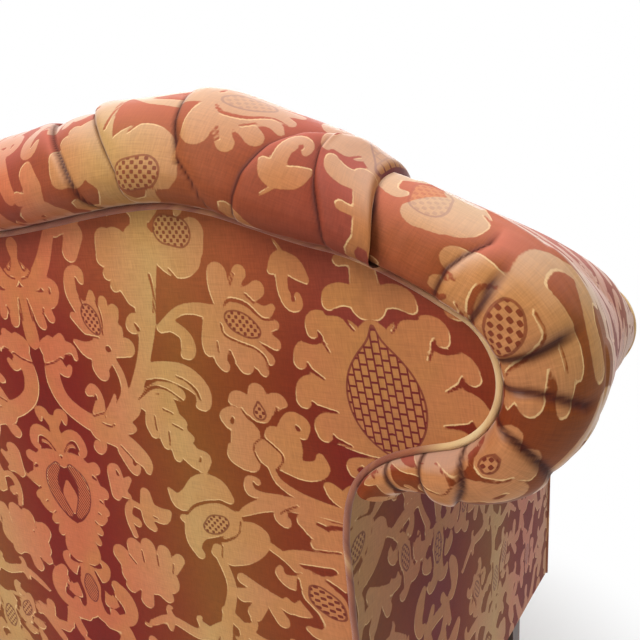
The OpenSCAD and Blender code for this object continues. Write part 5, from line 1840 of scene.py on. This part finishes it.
class Shader:
    """Short hand for building a node tree: each call adds a node and returns its output."""

    def __init__(self, tree: bpy.types.NodeTree) -> None:
        """Empties the tree and keeps it."""
        tree.nodes.clear()
        self.tree = tree

    def node(self, kind: str, inputs: dict | None = None, **settings: object) -> bpy.types.Node:
        """Adds a node, sets its properties and fills its sockets with values or links."""
        node = self.tree.nodes.new(kind)
        for name, value in settings.items():
            setattr(node, name, value)
        for key, value in (inputs or {}).items():
            socket = node.inputs[key]
            if isinstance(value, bpy.types.NodeSocket):
                self.tree.links.new(value, socket)
            else:
                socket.default_value = value
        return node

    def spot(self) -> bpy.types.NodeSocket:
        """Returns the place on the object, in its own coordinates."""
        return self.node("ShaderNodeTexCoord").outputs["Object"]

    def stretched(self, place: Value, scale: tuple[float, float, float]) -> bpy.types.NodeSocket:
        """Returns the place with each of its parts scaled."""
        return self.node("ShaderNodeMapping", {"Vector": place, "Scale": scale}).outputs[0]

    def effect(self, tree: bpy.types.NodeTree, inputs: dict) -> bpy.types.NodeOutputs:
        """Adds a shared effect with its own values and returns its outputs."""
        return self.node("ShaderNodeGroup", inputs, node_tree=tree).outputs

    def bump(self, height: Value, strength: float, depth: float) -> bpy.types.NodeSocket:
        """Returns the normal of a surface that is raised by the height."""
        inputs = {"Strength": strength, "Distance": depth, "Height": height}
        return self.node("ShaderNodeBump", inputs).outputs[0]

    def surface(self, **inputs: Value | Colour) -> None:
        """Ends a material in a surface: Base_Color stands for the socket Base Color, and so on."""
        sockets = {name.replace("_", " "): value for name, value in inputs.items()}
        made = self.node("ShaderNodeBsdfPrincipled", sockets)
        self.node("ShaderNodeOutputMaterial", {0: made.outputs[0]})

    def math(self, operation: str, a: Value, b: Value = 0.0, c: Value = 0.0) -> bpy.types.NodeSocket:
        """Adds a maths node and returns its value."""
        return self.node("ShaderNodeMath", {0: a, 1: b, 2: c}, operation=operation).outputs[0]

    def blend(self, share: Value, a: Value | Colour, b: Value | Colour,
              how: str = "MIX") -> bpy.types.NodeSocket:
        """Adds a colour mix and returns its colour."""
        node = self.node("ShaderNodeMix", {0: share, 6: a, 7: b}, data_type="RGBA", blend_type=how)
        return node.outputs[2]

    def step(self, value: Value, low: float, high: float) -> bpy.types.NodeSocket:
        """Adds a smooth step: 0 below low, 1 above high (or the other way when low is over high)."""
        node = self.node("ShaderNodeMapRange", {0: value, 1: low, 2: high, 3: 0.0, 4: 1.0})
        node.interpolation_type = "SMOOTHSTEP"
        return node.outputs[0]

    def noise(self, vector: Value, scale: float, detail: float = 3.0) -> bpy.types.NodeSocket:
        """Adds a noise and returns its value."""
        inputs = {"Vector": vector, "Scale": scale, "Detail": detail}
        return self.node("ShaderNodeTexNoise", inputs).outputs[0]

    def parts(self, vector: Value) -> tuple[bpy.types.NodeSocket, ...]:
        """Splits a vector and returns its three parts."""
        return tuple(self.node("ShaderNodeSeparateXYZ", {0: vector}).outputs)

    def ramp(self, value: Value, stops: list[tuple[float, Colour]]) -> bpy.types.NodeSocket:
        """Adds a colour ramp and returns its colour."""
        node = self.node("ShaderNodeValToRGB", {0: value})
        band = node.color_ramp
        while len(band.elements) < len(stops):
            band.elements.new(0.5)
        for element, (at, colour) in zip(band.elements, stops):
            element.position = at
            element.color = colour
        return node.outputs[0]


def new_material(name: str) -> tuple[bpy.types.Material, Shader]:
    """Starts a material of the given name and returns it with the short hand for its tree."""
    material = bpy.data.materials.new(name)
    material.use_nodes = True
    return material, Shader(material.node_tree)


def new_effect(name: str, size: str, outputs: tuple[str, ...]) -> tuple[Shader, bpy.types.NodeOutputs]:
    """Starts a node group that several finishes share.

    Args:
        name: name of the group.
        size: name of its number input, beside the vector input Place.
        outputs: names of its values.

    Returns:
        The short hand for its tree, and the sockets Place and the number.
    """
    tree = bpy.data.node_groups.new(name, "ShaderNodeTree")
    tree.interface.new_socket("Place", in_out="INPUT", socket_type="NodeSocketVector")
    tree.interface.new_socket(size, in_out="INPUT", socket_type="NodeSocketFloat")
    for output in outputs:
        tree.interface.new_socket(output, in_out="OUTPUT", socket_type="NodeSocketFloat")
    s = Shader(tree)
    return s, s.node("NodeGroupInput").outputs


@cache
def weave() -> bpy.types.NodeTree:
    """Builds the effect of crossing threads: Threads is their height, Cover how much is lit yarn."""
    s, (place, pitch, _) = new_effect("weave", "Pitch", ("Threads", "Cover"))
    x, y, z = s.parts(place)
    thread_turns = s.math("DIVIDE", 2 * math.pi, pitch)
    waves = [s.math("SINE", s.math("MULTIPLY", s.math("ADD", way, z), thread_turns)) for way in (x, y)]
    threads = s.math("MULTIPLY", *waves)
    cover = s.step(s.math("MULTIPLY_ADD", threads, 0.3, s.noise(place, 60.0, 4.0)), 0.2, 0.8)
    s.node("NodeGroupOutput", {"Threads": threads, "Cover": cover})
    return s.tree


@cache
def timber() -> bpy.types.NodeTree:
    """Builds the effect of grain up the legs and rails: Light is the pale wood, Pores the dark specks."""
    s, (place, speck, _) = new_effect("timber", "Speck", ("Light", "Pores", "Height"))
    light = s.step(s.noise(s.stretched(place, (34.0, 34.0, 5.0)), 2.4, 6.0), 0.32, 0.68)
    pores = s.noise(s.stretched(place, (900.0, 900.0, 40.0)), 1.0, 2.0)
    dark = s.math("MULTIPLY", s.step(pores, 0.62, 0.75), speck)
    s.node("NodeGroupOutput", {"Light": light, "Pores": dark, "Height": pores})
    return s.tree


@cache
def wear() -> bpy.types.NodeTree:
    """Builds the effect of handling: Roughness goes a little up and down about the given value."""
    s, (place, roughness, _) = new_effect("wear", "Roughness", ("Roughness",))
    rough = s.math("MULTIPLY_ADD", s.noise(place, 90.0, 5.0), 0.2, s.math("SUBTRACT", roughness, 0.1))
    s.node("NodeGroupOutput", {"Roughness": rough})
    return s.tree


@dataclass(frozen=True)
class DamaskFinish:
    """The woven damask: satin figures on a ground that shades from plum through olive to deep red."""

    name: str = "woven_damask"
    repeat: float = 2 * HALF_REPEAT * MM
    rib_pitch: float = 0.0009
    roughness: float = 0.58
    cream: float = 0.6
    check: float = 0.0062
    brick: tuple[float, float] = (0.0056, 0.0082)
    line_pitch: float = 0.0032
    # Strength of the painted sheen on faces that look up.
    sheen: float = 0.42
    cream_yarn: Colour = srgb(224, 190, 134)
    ochre_yarn: Colour = srgb(170, 118, 58)
    eye_dark: Colour = srgb(84, 26, 30)
    # Painted light: the colour the ground is lightened towards at the top of the cloth.
    crest_painted_light: Colour = srgb(196, 112, 76)
    # Colours of the painted sheen on faces that look up, on the ground and on the figures.
    ground_painted_sheen: Colour = srgb(226, 130, 114)
    figure_painted_sheen: Colour = srgb(228, 198, 180)
    # Colour of the painted sheen at grazing angles.
    grazing_painted_sheen: Colour = srgb(240, 222, 214)
    # Colours of painted shade: soft beside tucks and by the welt, and the dark line along a tuck.
    painted_soft_shade: Colour = srgb(74, 24, 12)
    painted_line_shade: Colour = srgb(58, 18, 12)

    def ground(self, s: Shader, share: Value) -> bpy.types.NodeSocket:
        """Returns the ground's colour; share runs from 0 at the artichoke to 1 at the heart."""
        return s.ramp(share, [
            (0.0, srgb(104, 26, 26)), (0.12, srgb(106, 26, 10)), (0.28, srgb(116, 46, 10)),
            (0.52, srgb(122, 68, 20)), (0.72, srgb(116, 42, 8)), (0.88, srgb(110, 18, 2)),
            (1.0, srgb(104, 14, 0)),
        ])

    def thread(self, s: Shader, share: Value) -> bpy.types.NodeSocket:
        """Returns the figures' colour."""
        return s.ramp(share, [
            (0.0, srgb(160, 102, 58)), (0.16, srgb(170, 104, 62)), (0.36, srgb(174, 116, 72)),
            (0.56, srgb(176, 136, 82)), (0.74, srgb(180, 112, 72)), (0.88, srgb(180, 98, 62)),
            (1.0, srgb(176, 92, 56)),
        ])

    def lattice(self, s: Shader, u: Value, v: Value, share: Value) -> bpy.types.NodeSocket:
        """Returns 1 in an eye's dark parts: bricks in the artichoke, slant lines in the heart or checks."""
        large = s.math("MULTIPLY", s.step(share, 0.16, 0.14), s.step(v, 0.026, 0.024))
        waves = [s.math("SINE", s.math("MULTIPLY", way, 2 * math.pi / self.check)) for way in (u, v)]
        checks = s.step(s.math("MULTIPLY", *waves), 0.02, 0.30)
        column = s.math("DIVIDE", u, self.brick[0])
        shift = s.math("MULTIPLY", s.math("MODULO", s.math("FLOOR", column), 2.0), 0.5)
        row = s.math("ADD", s.math("DIVIDE", v, self.brick[1]), shift)
        across = s.math("PINGPONG", column, 0.5)
        up = s.math("PINGPONG", row, 0.5)
        bricks = s.math("MAXIMUM", s.step(across, 0.15, 0.08), s.step(up, 0.13, 0.07))
        slant = s.math("DIVIDE", s.math("MULTIPLY_ADD", v, -0.6, u), self.line_pitch)
        lines = s.step(s.math("PINGPONG", slant, 0.5), 0.26, 0.16)
        heart = s.step(share, 0.86, 0.90)
        small = s.math("MULTIPLY_ADD", heart, s.math("SUBTRACT", lines, checks), checks)
        return s.math("MULTIPLY_ADD", large, s.math("SUBTRACT", bricks, small), small)

    def grain(self, s: Shader, cloth: Value) -> bpy.types.NodeSocket:
        """Returns the grey of single threads: long streaks both ways."""
        weft = s.noise(s.stretched(cloth, (60.0, 900.0, 1.0)), 1.0, 2.0)
        warp = s.noise(s.stretched(cloth, (900.0, 90.0, 1.0)), 1.0, 1.0)
        grain = s.math("MULTIPLY_ADD", s.math("ADD", weft, warp), 0.42, 0.58)
        return s.node("ShaderNodeCombineColor", {0: grain, 1: grain, 2: grain}).outputs[0]

    def build(self) -> bpy.types.Material:
        """Builds the material: ground and figures, the eyes' lattice, thread grain, painted sheen and painted
        tuck shade.
        """
        material, s = new_material(self.name)
        cloth = s.node("ShaderNodeUVMap", uv_map="cloth").outputs[0]
        u, v, _ = s.parts(cloth)
        _, _, up = s.parts(s.node("ShaderNodeNewGeometry").outputs["Normal"])
        motif, lit, eye = s.parts(s.node("ShaderNodeAttribute", attribute_name="pattern").outputs["Vector"])
        tuck = s.node("ShaderNodeAttribute", attribute_name="tuck").outputs["Fac"]
        edge = s.math("ADD", motif, s.math("SUBTRACT", s.noise(cloth, 420.0, 2.0), 0.5))
        inside = s.step(edge, 0.5, -0.5)
        share = s.math("DIVIDE", s.math("PINGPONG", u, self.repeat / 2), self.repeat / 2)
        share = s.math("ADD", share, s.math("MULTIPLY_ADD", s.noise(cloth, 9.0), 0.12, -0.06))
        ground = self.ground(s, share)
        # Painted light: the ground grows lighter towards the top of the cloth, as if lit from above.
        ground = s.blend(s.math("MULTIPLY", s.step(v, -0.04, 0.10), 0.22), ground, self.crest_painted_light)
        thread = self.thread(s, share)
        cloud = s.step(s.noise(cloth, 14.0, 2.0), 0.42, 0.66)
        thread = s.blend(s.math("MULTIPLY", cloud, 0.35), thread, self.ochre_yarn)
        in_eye = s.step(eye, 0.3, -0.3)
        colour = s.blend(s.math("MAXIMUM", inside, in_eye), ground, thread)
        line = s.step(s.math("ABSOLUTE", s.math("ADD", edge, 0.35)), 0.7, 0.25)
        # The cream outline is yarn of the figures' edges, drawn only on the side that lit picks: a painted
        # highlight of a raised edge.
        cream = s.math("MULTIPLY", s.math("MULTIPLY", line, s.step(lit, 0.25, 0.75)), self.cream)
        colour = s.blend(cream, colour, self.cream_yarn)
        dark = s.blend(0.35, ground, self.eye_dark)
        # Painted light: the eyes' lattice is drawn half as dark on faces that look up.
        depth = s.math("MULTIPLY", in_eye, s.math("MULTIPLY_ADD", s.step(up, 0.7, 0.2), 0.5, 0.5))
        colour = s.blend(s.math("MULTIPLY", depth, self.lattice(s, u, v, share)), colour, dark)
        colour = s.blend(s.math("MULTIPLY", s.step(s.math("ABSOLUTE", eye), 1.1, 0.5), 0.8), colour, dark)
        colour = s.blend(1.0, colour, self.grain(s, cloth), "MULTIPLY")
        # Painted sheen: faces that look up are lightened towards pale pink, paler on the figures.
        upward_painted_sheen = s.math("MULTIPLY", s.step(up, 0.22, 1.0), self.sheen)
        colour = s.blend(upward_painted_sheen, colour, s.blend(inside, self.ground_painted_sheen, self.figure_painted_sheen))
        # Painted sheen at grazing angles, stronger on the figures.
        grazing = s.node("ShaderNodeLayerWeight", {"Blend": 0.5}).outputs["Facing"]
        sheen = s.math("MULTIPLY", s.step(grazing, 0.70, 1.0), s.math("MULTIPLY_ADD", inside, 0.35, 0.10))
        colour = s.blend(sheen, colour, self.grazing_painted_sheen)
        # Painted shade from the tuck field: soft beside tucks and by the welt, then a dark line along tucks
        # and the hem.
        colour = s.blend(s.math("MULTIPLY", s.step(tuck, 0.1, 0.6), 0.45), colour, self.painted_soft_shade)
        colour = s.blend(s.math("MULTIPLY", s.step(tuck, 0.5, 1.0), 0.9), colour, self.painted_line_shade)
        ribs = s.math("SINE", s.math("MULTIPLY", v, 2 * math.pi / self.rib_pitch))
        height = s.math("MULTIPLY_ADD", ribs, 0.10, s.math("MULTIPLY", inside, 0.5))
        rough = s.math("MULTIPLY_ADD", inside, -0.10, self.roughness)
        normal = s.bump(height, 0.35, 0.0007)
        s.surface(Base_Color=colour, Roughness=rough, Normal=normal, Specular_IOR_Level=0.14)
        return material


@dataclass(frozen=True)
class WeltFinish:
    """Welt covered in bias strips of the same cloth, so its colour changes in lengths.

    Strips that lie outwards of cream_from are cream, and the others are brown.
    """

    name: str = "bias_welt"
    cream_from: float = 0.70
    slant: float = 1.6
    twill_turns: float = 5200.0
    # Colour of the painted shade in the twill's furrows.
    furrow_shade: Colour = srgb(60, 26, 18)
    roughness: float = 0.6
    fuzz: float = 0.2

    def build(self) -> bpy.types.Material:
        """Builds the material and returns it."""
        material, s = new_material(self.name)
        u, v, _ = s.parts(s.node("ShaderNodeUVMap", uv_map="cloth").outputs[0])
        slant = s.math("MULTIPLY_ADD", v, self.slant, u)
        tone = s.noise(s.node("ShaderNodeCombineXYZ", {0: slant}).outputs[0], 17.0, 5.0)
        brown = s.ramp(tone, [
            (0.30, srgb(104, 42, 22)), (0.44, srgb(150, 80, 40)), (0.52, srgb(132, 62, 30)),
            (0.60, srgb(172, 108, 58)), (0.66, srgb(204, 160, 106)), (0.76, srgb(132, 70, 40)),
        ])
        cream = s.ramp(tone, [
            (0.30, srgb(150, 92, 60)), (0.44, srgb(196, 150, 98)), (0.52, srgb(214, 174, 118)),
            (0.70, srgb(226, 198, 146)),
        ])
        across, _, _ = s.parts(s.spot())
        outer = s.step(s.math("ABSOLUTE", across), self.cream_from, self.cream_from + 0.03)
        colour = s.blend(outer, brown, cream)
        twill = s.math("SINE", s.math("MULTIPLY", s.math("MULTIPLY_ADD", v, 1.2, u), self.twill_turns))
        # Painted shade in the twill's furrows, up to a fifth of the way to the furrow colour.
        colour = s.blend(s.math("MULTIPLY_ADD", twill, 0.10, 0.10), colour, self.furrow_shade)
        normal = s.bump(twill, 0.4, 0.0005)
        s.surface(Base_Color=colour, Roughness=self.roughness, Normal=normal, Sheen_Weight=self.fuzz)
        return material


@dataclass(frozen=True)
class WoodFinish:
    """Timber with its grain upright."""

    name: str
    dark: Colour
    light: Colour
    roughness: float
    speck: float = 0.4

    def build(self) -> bpy.types.Material:
        """Builds the material and returns it."""
        material, s = new_material(self.name)
        light, pores, height = s.effect(timber(), {"Place": s.spot(), "Speck": self.speck})
        colour = s.blend(pores, s.blend(light, self.dark, self.light), self.dark)
        s.surface(Base_Color=colour, Roughness=self.roughness, Normal=s.bump(height, 0.15, 0.0004))
        return material


@dataclass(frozen=True)
class WovenFinish:
    """A plain weave, such as burlap, webbing, deck cloth or zip tape."""

    name: str
    colour: Colour
    dark: Colour
    pitch: float
    roughness: float = 0.85

    def build(self) -> bpy.types.Material:
        """Builds the material and returns it."""
        material, s = new_material(self.name)
        threads, cover = s.effect(weave(), {"Place": s.spot(), "Pitch": self.pitch})
        colour = s.blend(cover, self.dark, self.colour)
        normal = s.bump(threads, 0.4, self.pitch / 4)
        s.surface(Base_Color=colour, Roughness=self.roughness, Normal=normal)
        return material


@dataclass(frozen=True)
class PlainFinish:
    """A smooth solid material with faint wear, such as metal, nylon or foam."""

    name: str
    colour: Colour
    roughness: float
    metallic: float = 0.0

    def build(self) -> bpy.types.Material:
        """Builds the material and returns it."""
        material, s = new_material(self.name)
        rough = s.effect(wear(), {"Place": s.spot(), "Roughness": self.roughness})[0]
        s.surface(Base_Color=self.colour, Roughness=rough, Metallic=self.metallic)
        return material


class Slot(Enum):
    """Material slots of the record, with the finish of each."""

    damask = DamaskFinish()
    welt_cloth = WeltFinish()
    leg_wood = WoodFinish("walnut_stain", srgb(52, 30, 20), srgb(96, 58, 36), 0.38)
    frame_wood = WoodFinish("raw_beech", srgb(168, 128, 88), srgb(206, 170, 124), 0.7)
    screw_steel = PlainFinish("zinc_steel", srgb(190, 188, 180), 0.35, 1.0)
    glide_nylon = PlainFinish("nylon", srgb(226, 220, 206), 0.5)
    webbing = WovenFinish("jute_webbing", srgb(176, 146, 98), srgb(122, 94, 58), 0.0024)
    spring_steel = PlainFinish("spring_wire", srgb(120, 122, 126), 0.35, 1.0)
    twine = WovenFinish("hemp_twine", srgb(196, 168, 118), srgb(140, 112, 72), 0.0012)
    burlap = WovenFinish("burlap", srgb(178, 146, 100), srgb(112, 86, 54), 0.0028)
    deck_pad = PlainFinish("cotton_felt", srgb(222, 214, 196), 0.95)
    deck_cloth = WovenFinish("deck_twill", srgb(120, 78, 54), srgb(92, 56, 40), 0.0012)
    dust_cloth = WovenFinish("dust_cloth", srgb(52, 50, 50), srgb(34, 33, 33), 0.001)
    foam = PlainFinish("foam", srgb(236, 226, 186), 0.95)
    zip_tape = WovenFinish("zip_tape", srgb(110, 62, 44), srgb(80, 44, 32), 0.0009)
    zip_brass = PlainFinish("brass", srgb(196, 156, 84), 0.3, 1.0)


def dress(pieces: list[bpy.types.Object]) -> None:
    """Gives each piece, and each CAD node that shows, the finish of its slot.

    Args:
        pieces: the new pieces.
    """
    made = {slot.name: slot.value.build() for slot in Slot}
    slots = {part["node"]: part["material_slot"] for part in frame["record"]["subparts"]}
    for name, node in frame["nodes"].items():
        node.data.materials.clear()
        node.data.materials.append(made[slots[name]])
    for piece in pieces:
        piece.data.materials.clear()
        piece.data.materials.append(made[piece["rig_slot"]])


# The picture


@dataclass(frozen=True)
class Lamp:
    """A square soft lamp: its name, its place and width in metres, and its power in watts."""

    name: str
    at: tuple[float, float, float]
    size: float
    power: float


@dataclass(frozen=True)
class Studio:
    """Floor, soft lights and the camera, which stands where the photographer's did."""

    eye: tuple[float, float, float] = (-0.871, 0.722, 0.782)
    right: tuple[float, float, float] = (-0.87108, -0.49074, -0.01976)
    up: tuple[float, float, float] = (0.05370, -0.13516, 0.98937)
    lens: float = 39.375
    aim: tuple[float, float, float] = (-0.3, 0.0, 0.6)
    floor_half: float = 14.0
    fade: tuple[float, float] = (0.75, 1.1)
    warm: Colour = (1.0, 0.985, 0.965, 1.0)
    white: Colour = (1.0, 1.0, 1.0, 1.0)
    paper: Colour = srgb(244, 244, 244)
    lamps: tuple[Lamp, ...] = (
        Lamp("key", (0.3, 2.6, 2.9), 1.5, 108.0),
        Lamp("top", (-1.7, 0.1, 2.7), 1.2, 34.0),
        Lamp("front", (1.2, -3.0, 2.2), 2.4, 60.0),
    )

    def floor(self) -> None:
        """Makes the floor, whose paint fades away from the sofa into the white of the backdrop."""
        mesh = bpy.data.meshes.new("floor")
        corners = [(-1, -1), (1, -1), (1, 1), (-1, 1)]
        points = [(x * self.floor_half, y * self.floor_half, 0) for x, y in corners]
        mesh.from_pydata(points, [], [(0, 1, 2, 3)])
        obj = bpy.data.objects.new("floor", mesh)
        bpy.context.scene.collection.objects.link(obj)
        material, s = new_material("floor_paint")
        inputs = {"Base Color": self.paper, "Roughness": 0.8}
        paint = s.node("ShaderNodeBsdfPrincipled", inputs).outputs[0]
        white = s.node("ShaderNodeEmission", {0: self.white, 1: 1.0}).outputs[0]
        distance = s.node("ShaderNodeVectorMath", {0: s.spot()}, operation="LENGTH").outputs[1]
        away = s.step(distance, *self.fade)
        seen = s.math("MULTIPLY", away, s.node("ShaderNodeLightPath").outputs["Is Camera Ray"])
        shown = s.node("ShaderNodeMixShader", {0: seen, 1: paint, 2: white}).outputs[0]
        s.node("ShaderNodeOutputMaterial", {0: shown})
        mesh.materials.append(material)

    def world(self) -> None:
        """Lights the room from all round, less from one side, and shows white behind the sofa."""
        world = bpy.data.worlds.new("studio")
        bpy.context.scene.world = world
        world.use_nodes = True
        s = Shader(world.node_tree)
        path = s.node("ShaderNodeLightPath").outputs
        reflected = s.math("MAXIMUM", path["Is Glossy Ray"], path["Is Transmission Ray"])
        seen = s.math("MAXIMUM", path["Is Camera Ray"], reflected)
        from_left, _, _ = s.parts(s.node("ShaderNodeNewGeometry").outputs["Incoming"])
        power = s.math("MULTIPLY_ADD", s.step(from_left, -0.1, 0.9), -0.20, 0.32)
        soft = s.node("ShaderNodeBackground", {0: self.warm, 1: power}).outputs[0]
        white = s.node("ShaderNodeBackground", {0: self.white, 1: 1.0}).outputs[0]
        shown = s.node("ShaderNodeMixShader", {0: seen, 1: soft, 2: white}).outputs[0]
        s.node("ShaderNodeOutputWorld", {0: shown})

    def light(self, lamp: Lamp) -> None:
        """Adds a lamp at its place, facing the aim."""
        light = bpy.data.lights.new(lamp.name, "AREA")
        light.size = lamp.size
        light.energy = lamp.power
        obj = bpy.data.objects.new(lamp.name, light)
        obj.location = lamp.at
        way = Vector(self.aim) - Vector(lamp.at)
        obj.rotation_euler = way.to_track_quat("-Z", "Y").to_euler()
        bpy.context.scene.collection.objects.link(obj)

    def camera(self) -> None:
        """Sets the camera where the photograph was taken."""
        data = bpy.data.cameras.new("camera")
        data.lens = self.lens
        data.sensor_width = 36.0
        data.clip_start = 0.02
        obj = bpy.data.objects.new("camera", data)
        right, up = Vector(self.right).normalized(), Vector(self.up).normalized()
        back = right.cross(up)
        turn = Matrix((right, up, back)).transposed().to_4x4()
        obj.matrix_world = Matrix.Translation(Vector(self.eye)) @ turn
        bpy.context.scene.collection.objects.link(obj)
        bpy.context.scene.camera = obj

    def build(self) -> None:
        """Sets up the whole studio."""
        self.floor()
        self.world()
        for lamp in self.lamps:
            self.light(lamp)
        self.camera()
        bpy.context.scene.view_settings.view_transform = "Standard"


def main() -> None:
    """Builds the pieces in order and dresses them."""
    logging.basicConfig(level=logging.INFO, format="%(name)s: %(message)s")
    pieces = Back().build()
    pieces += Arm(right=False, fine=True).build()
    pieces += Arm(right=True, fine=False).build()
    for right in (False, True):
        pieces += Cushion(right).build()
    pieces += Front().build()
    dress(pieces)
    Studio().build()
    bpy.context.view_layer.update()


if __name__ == "__main__":
    main()
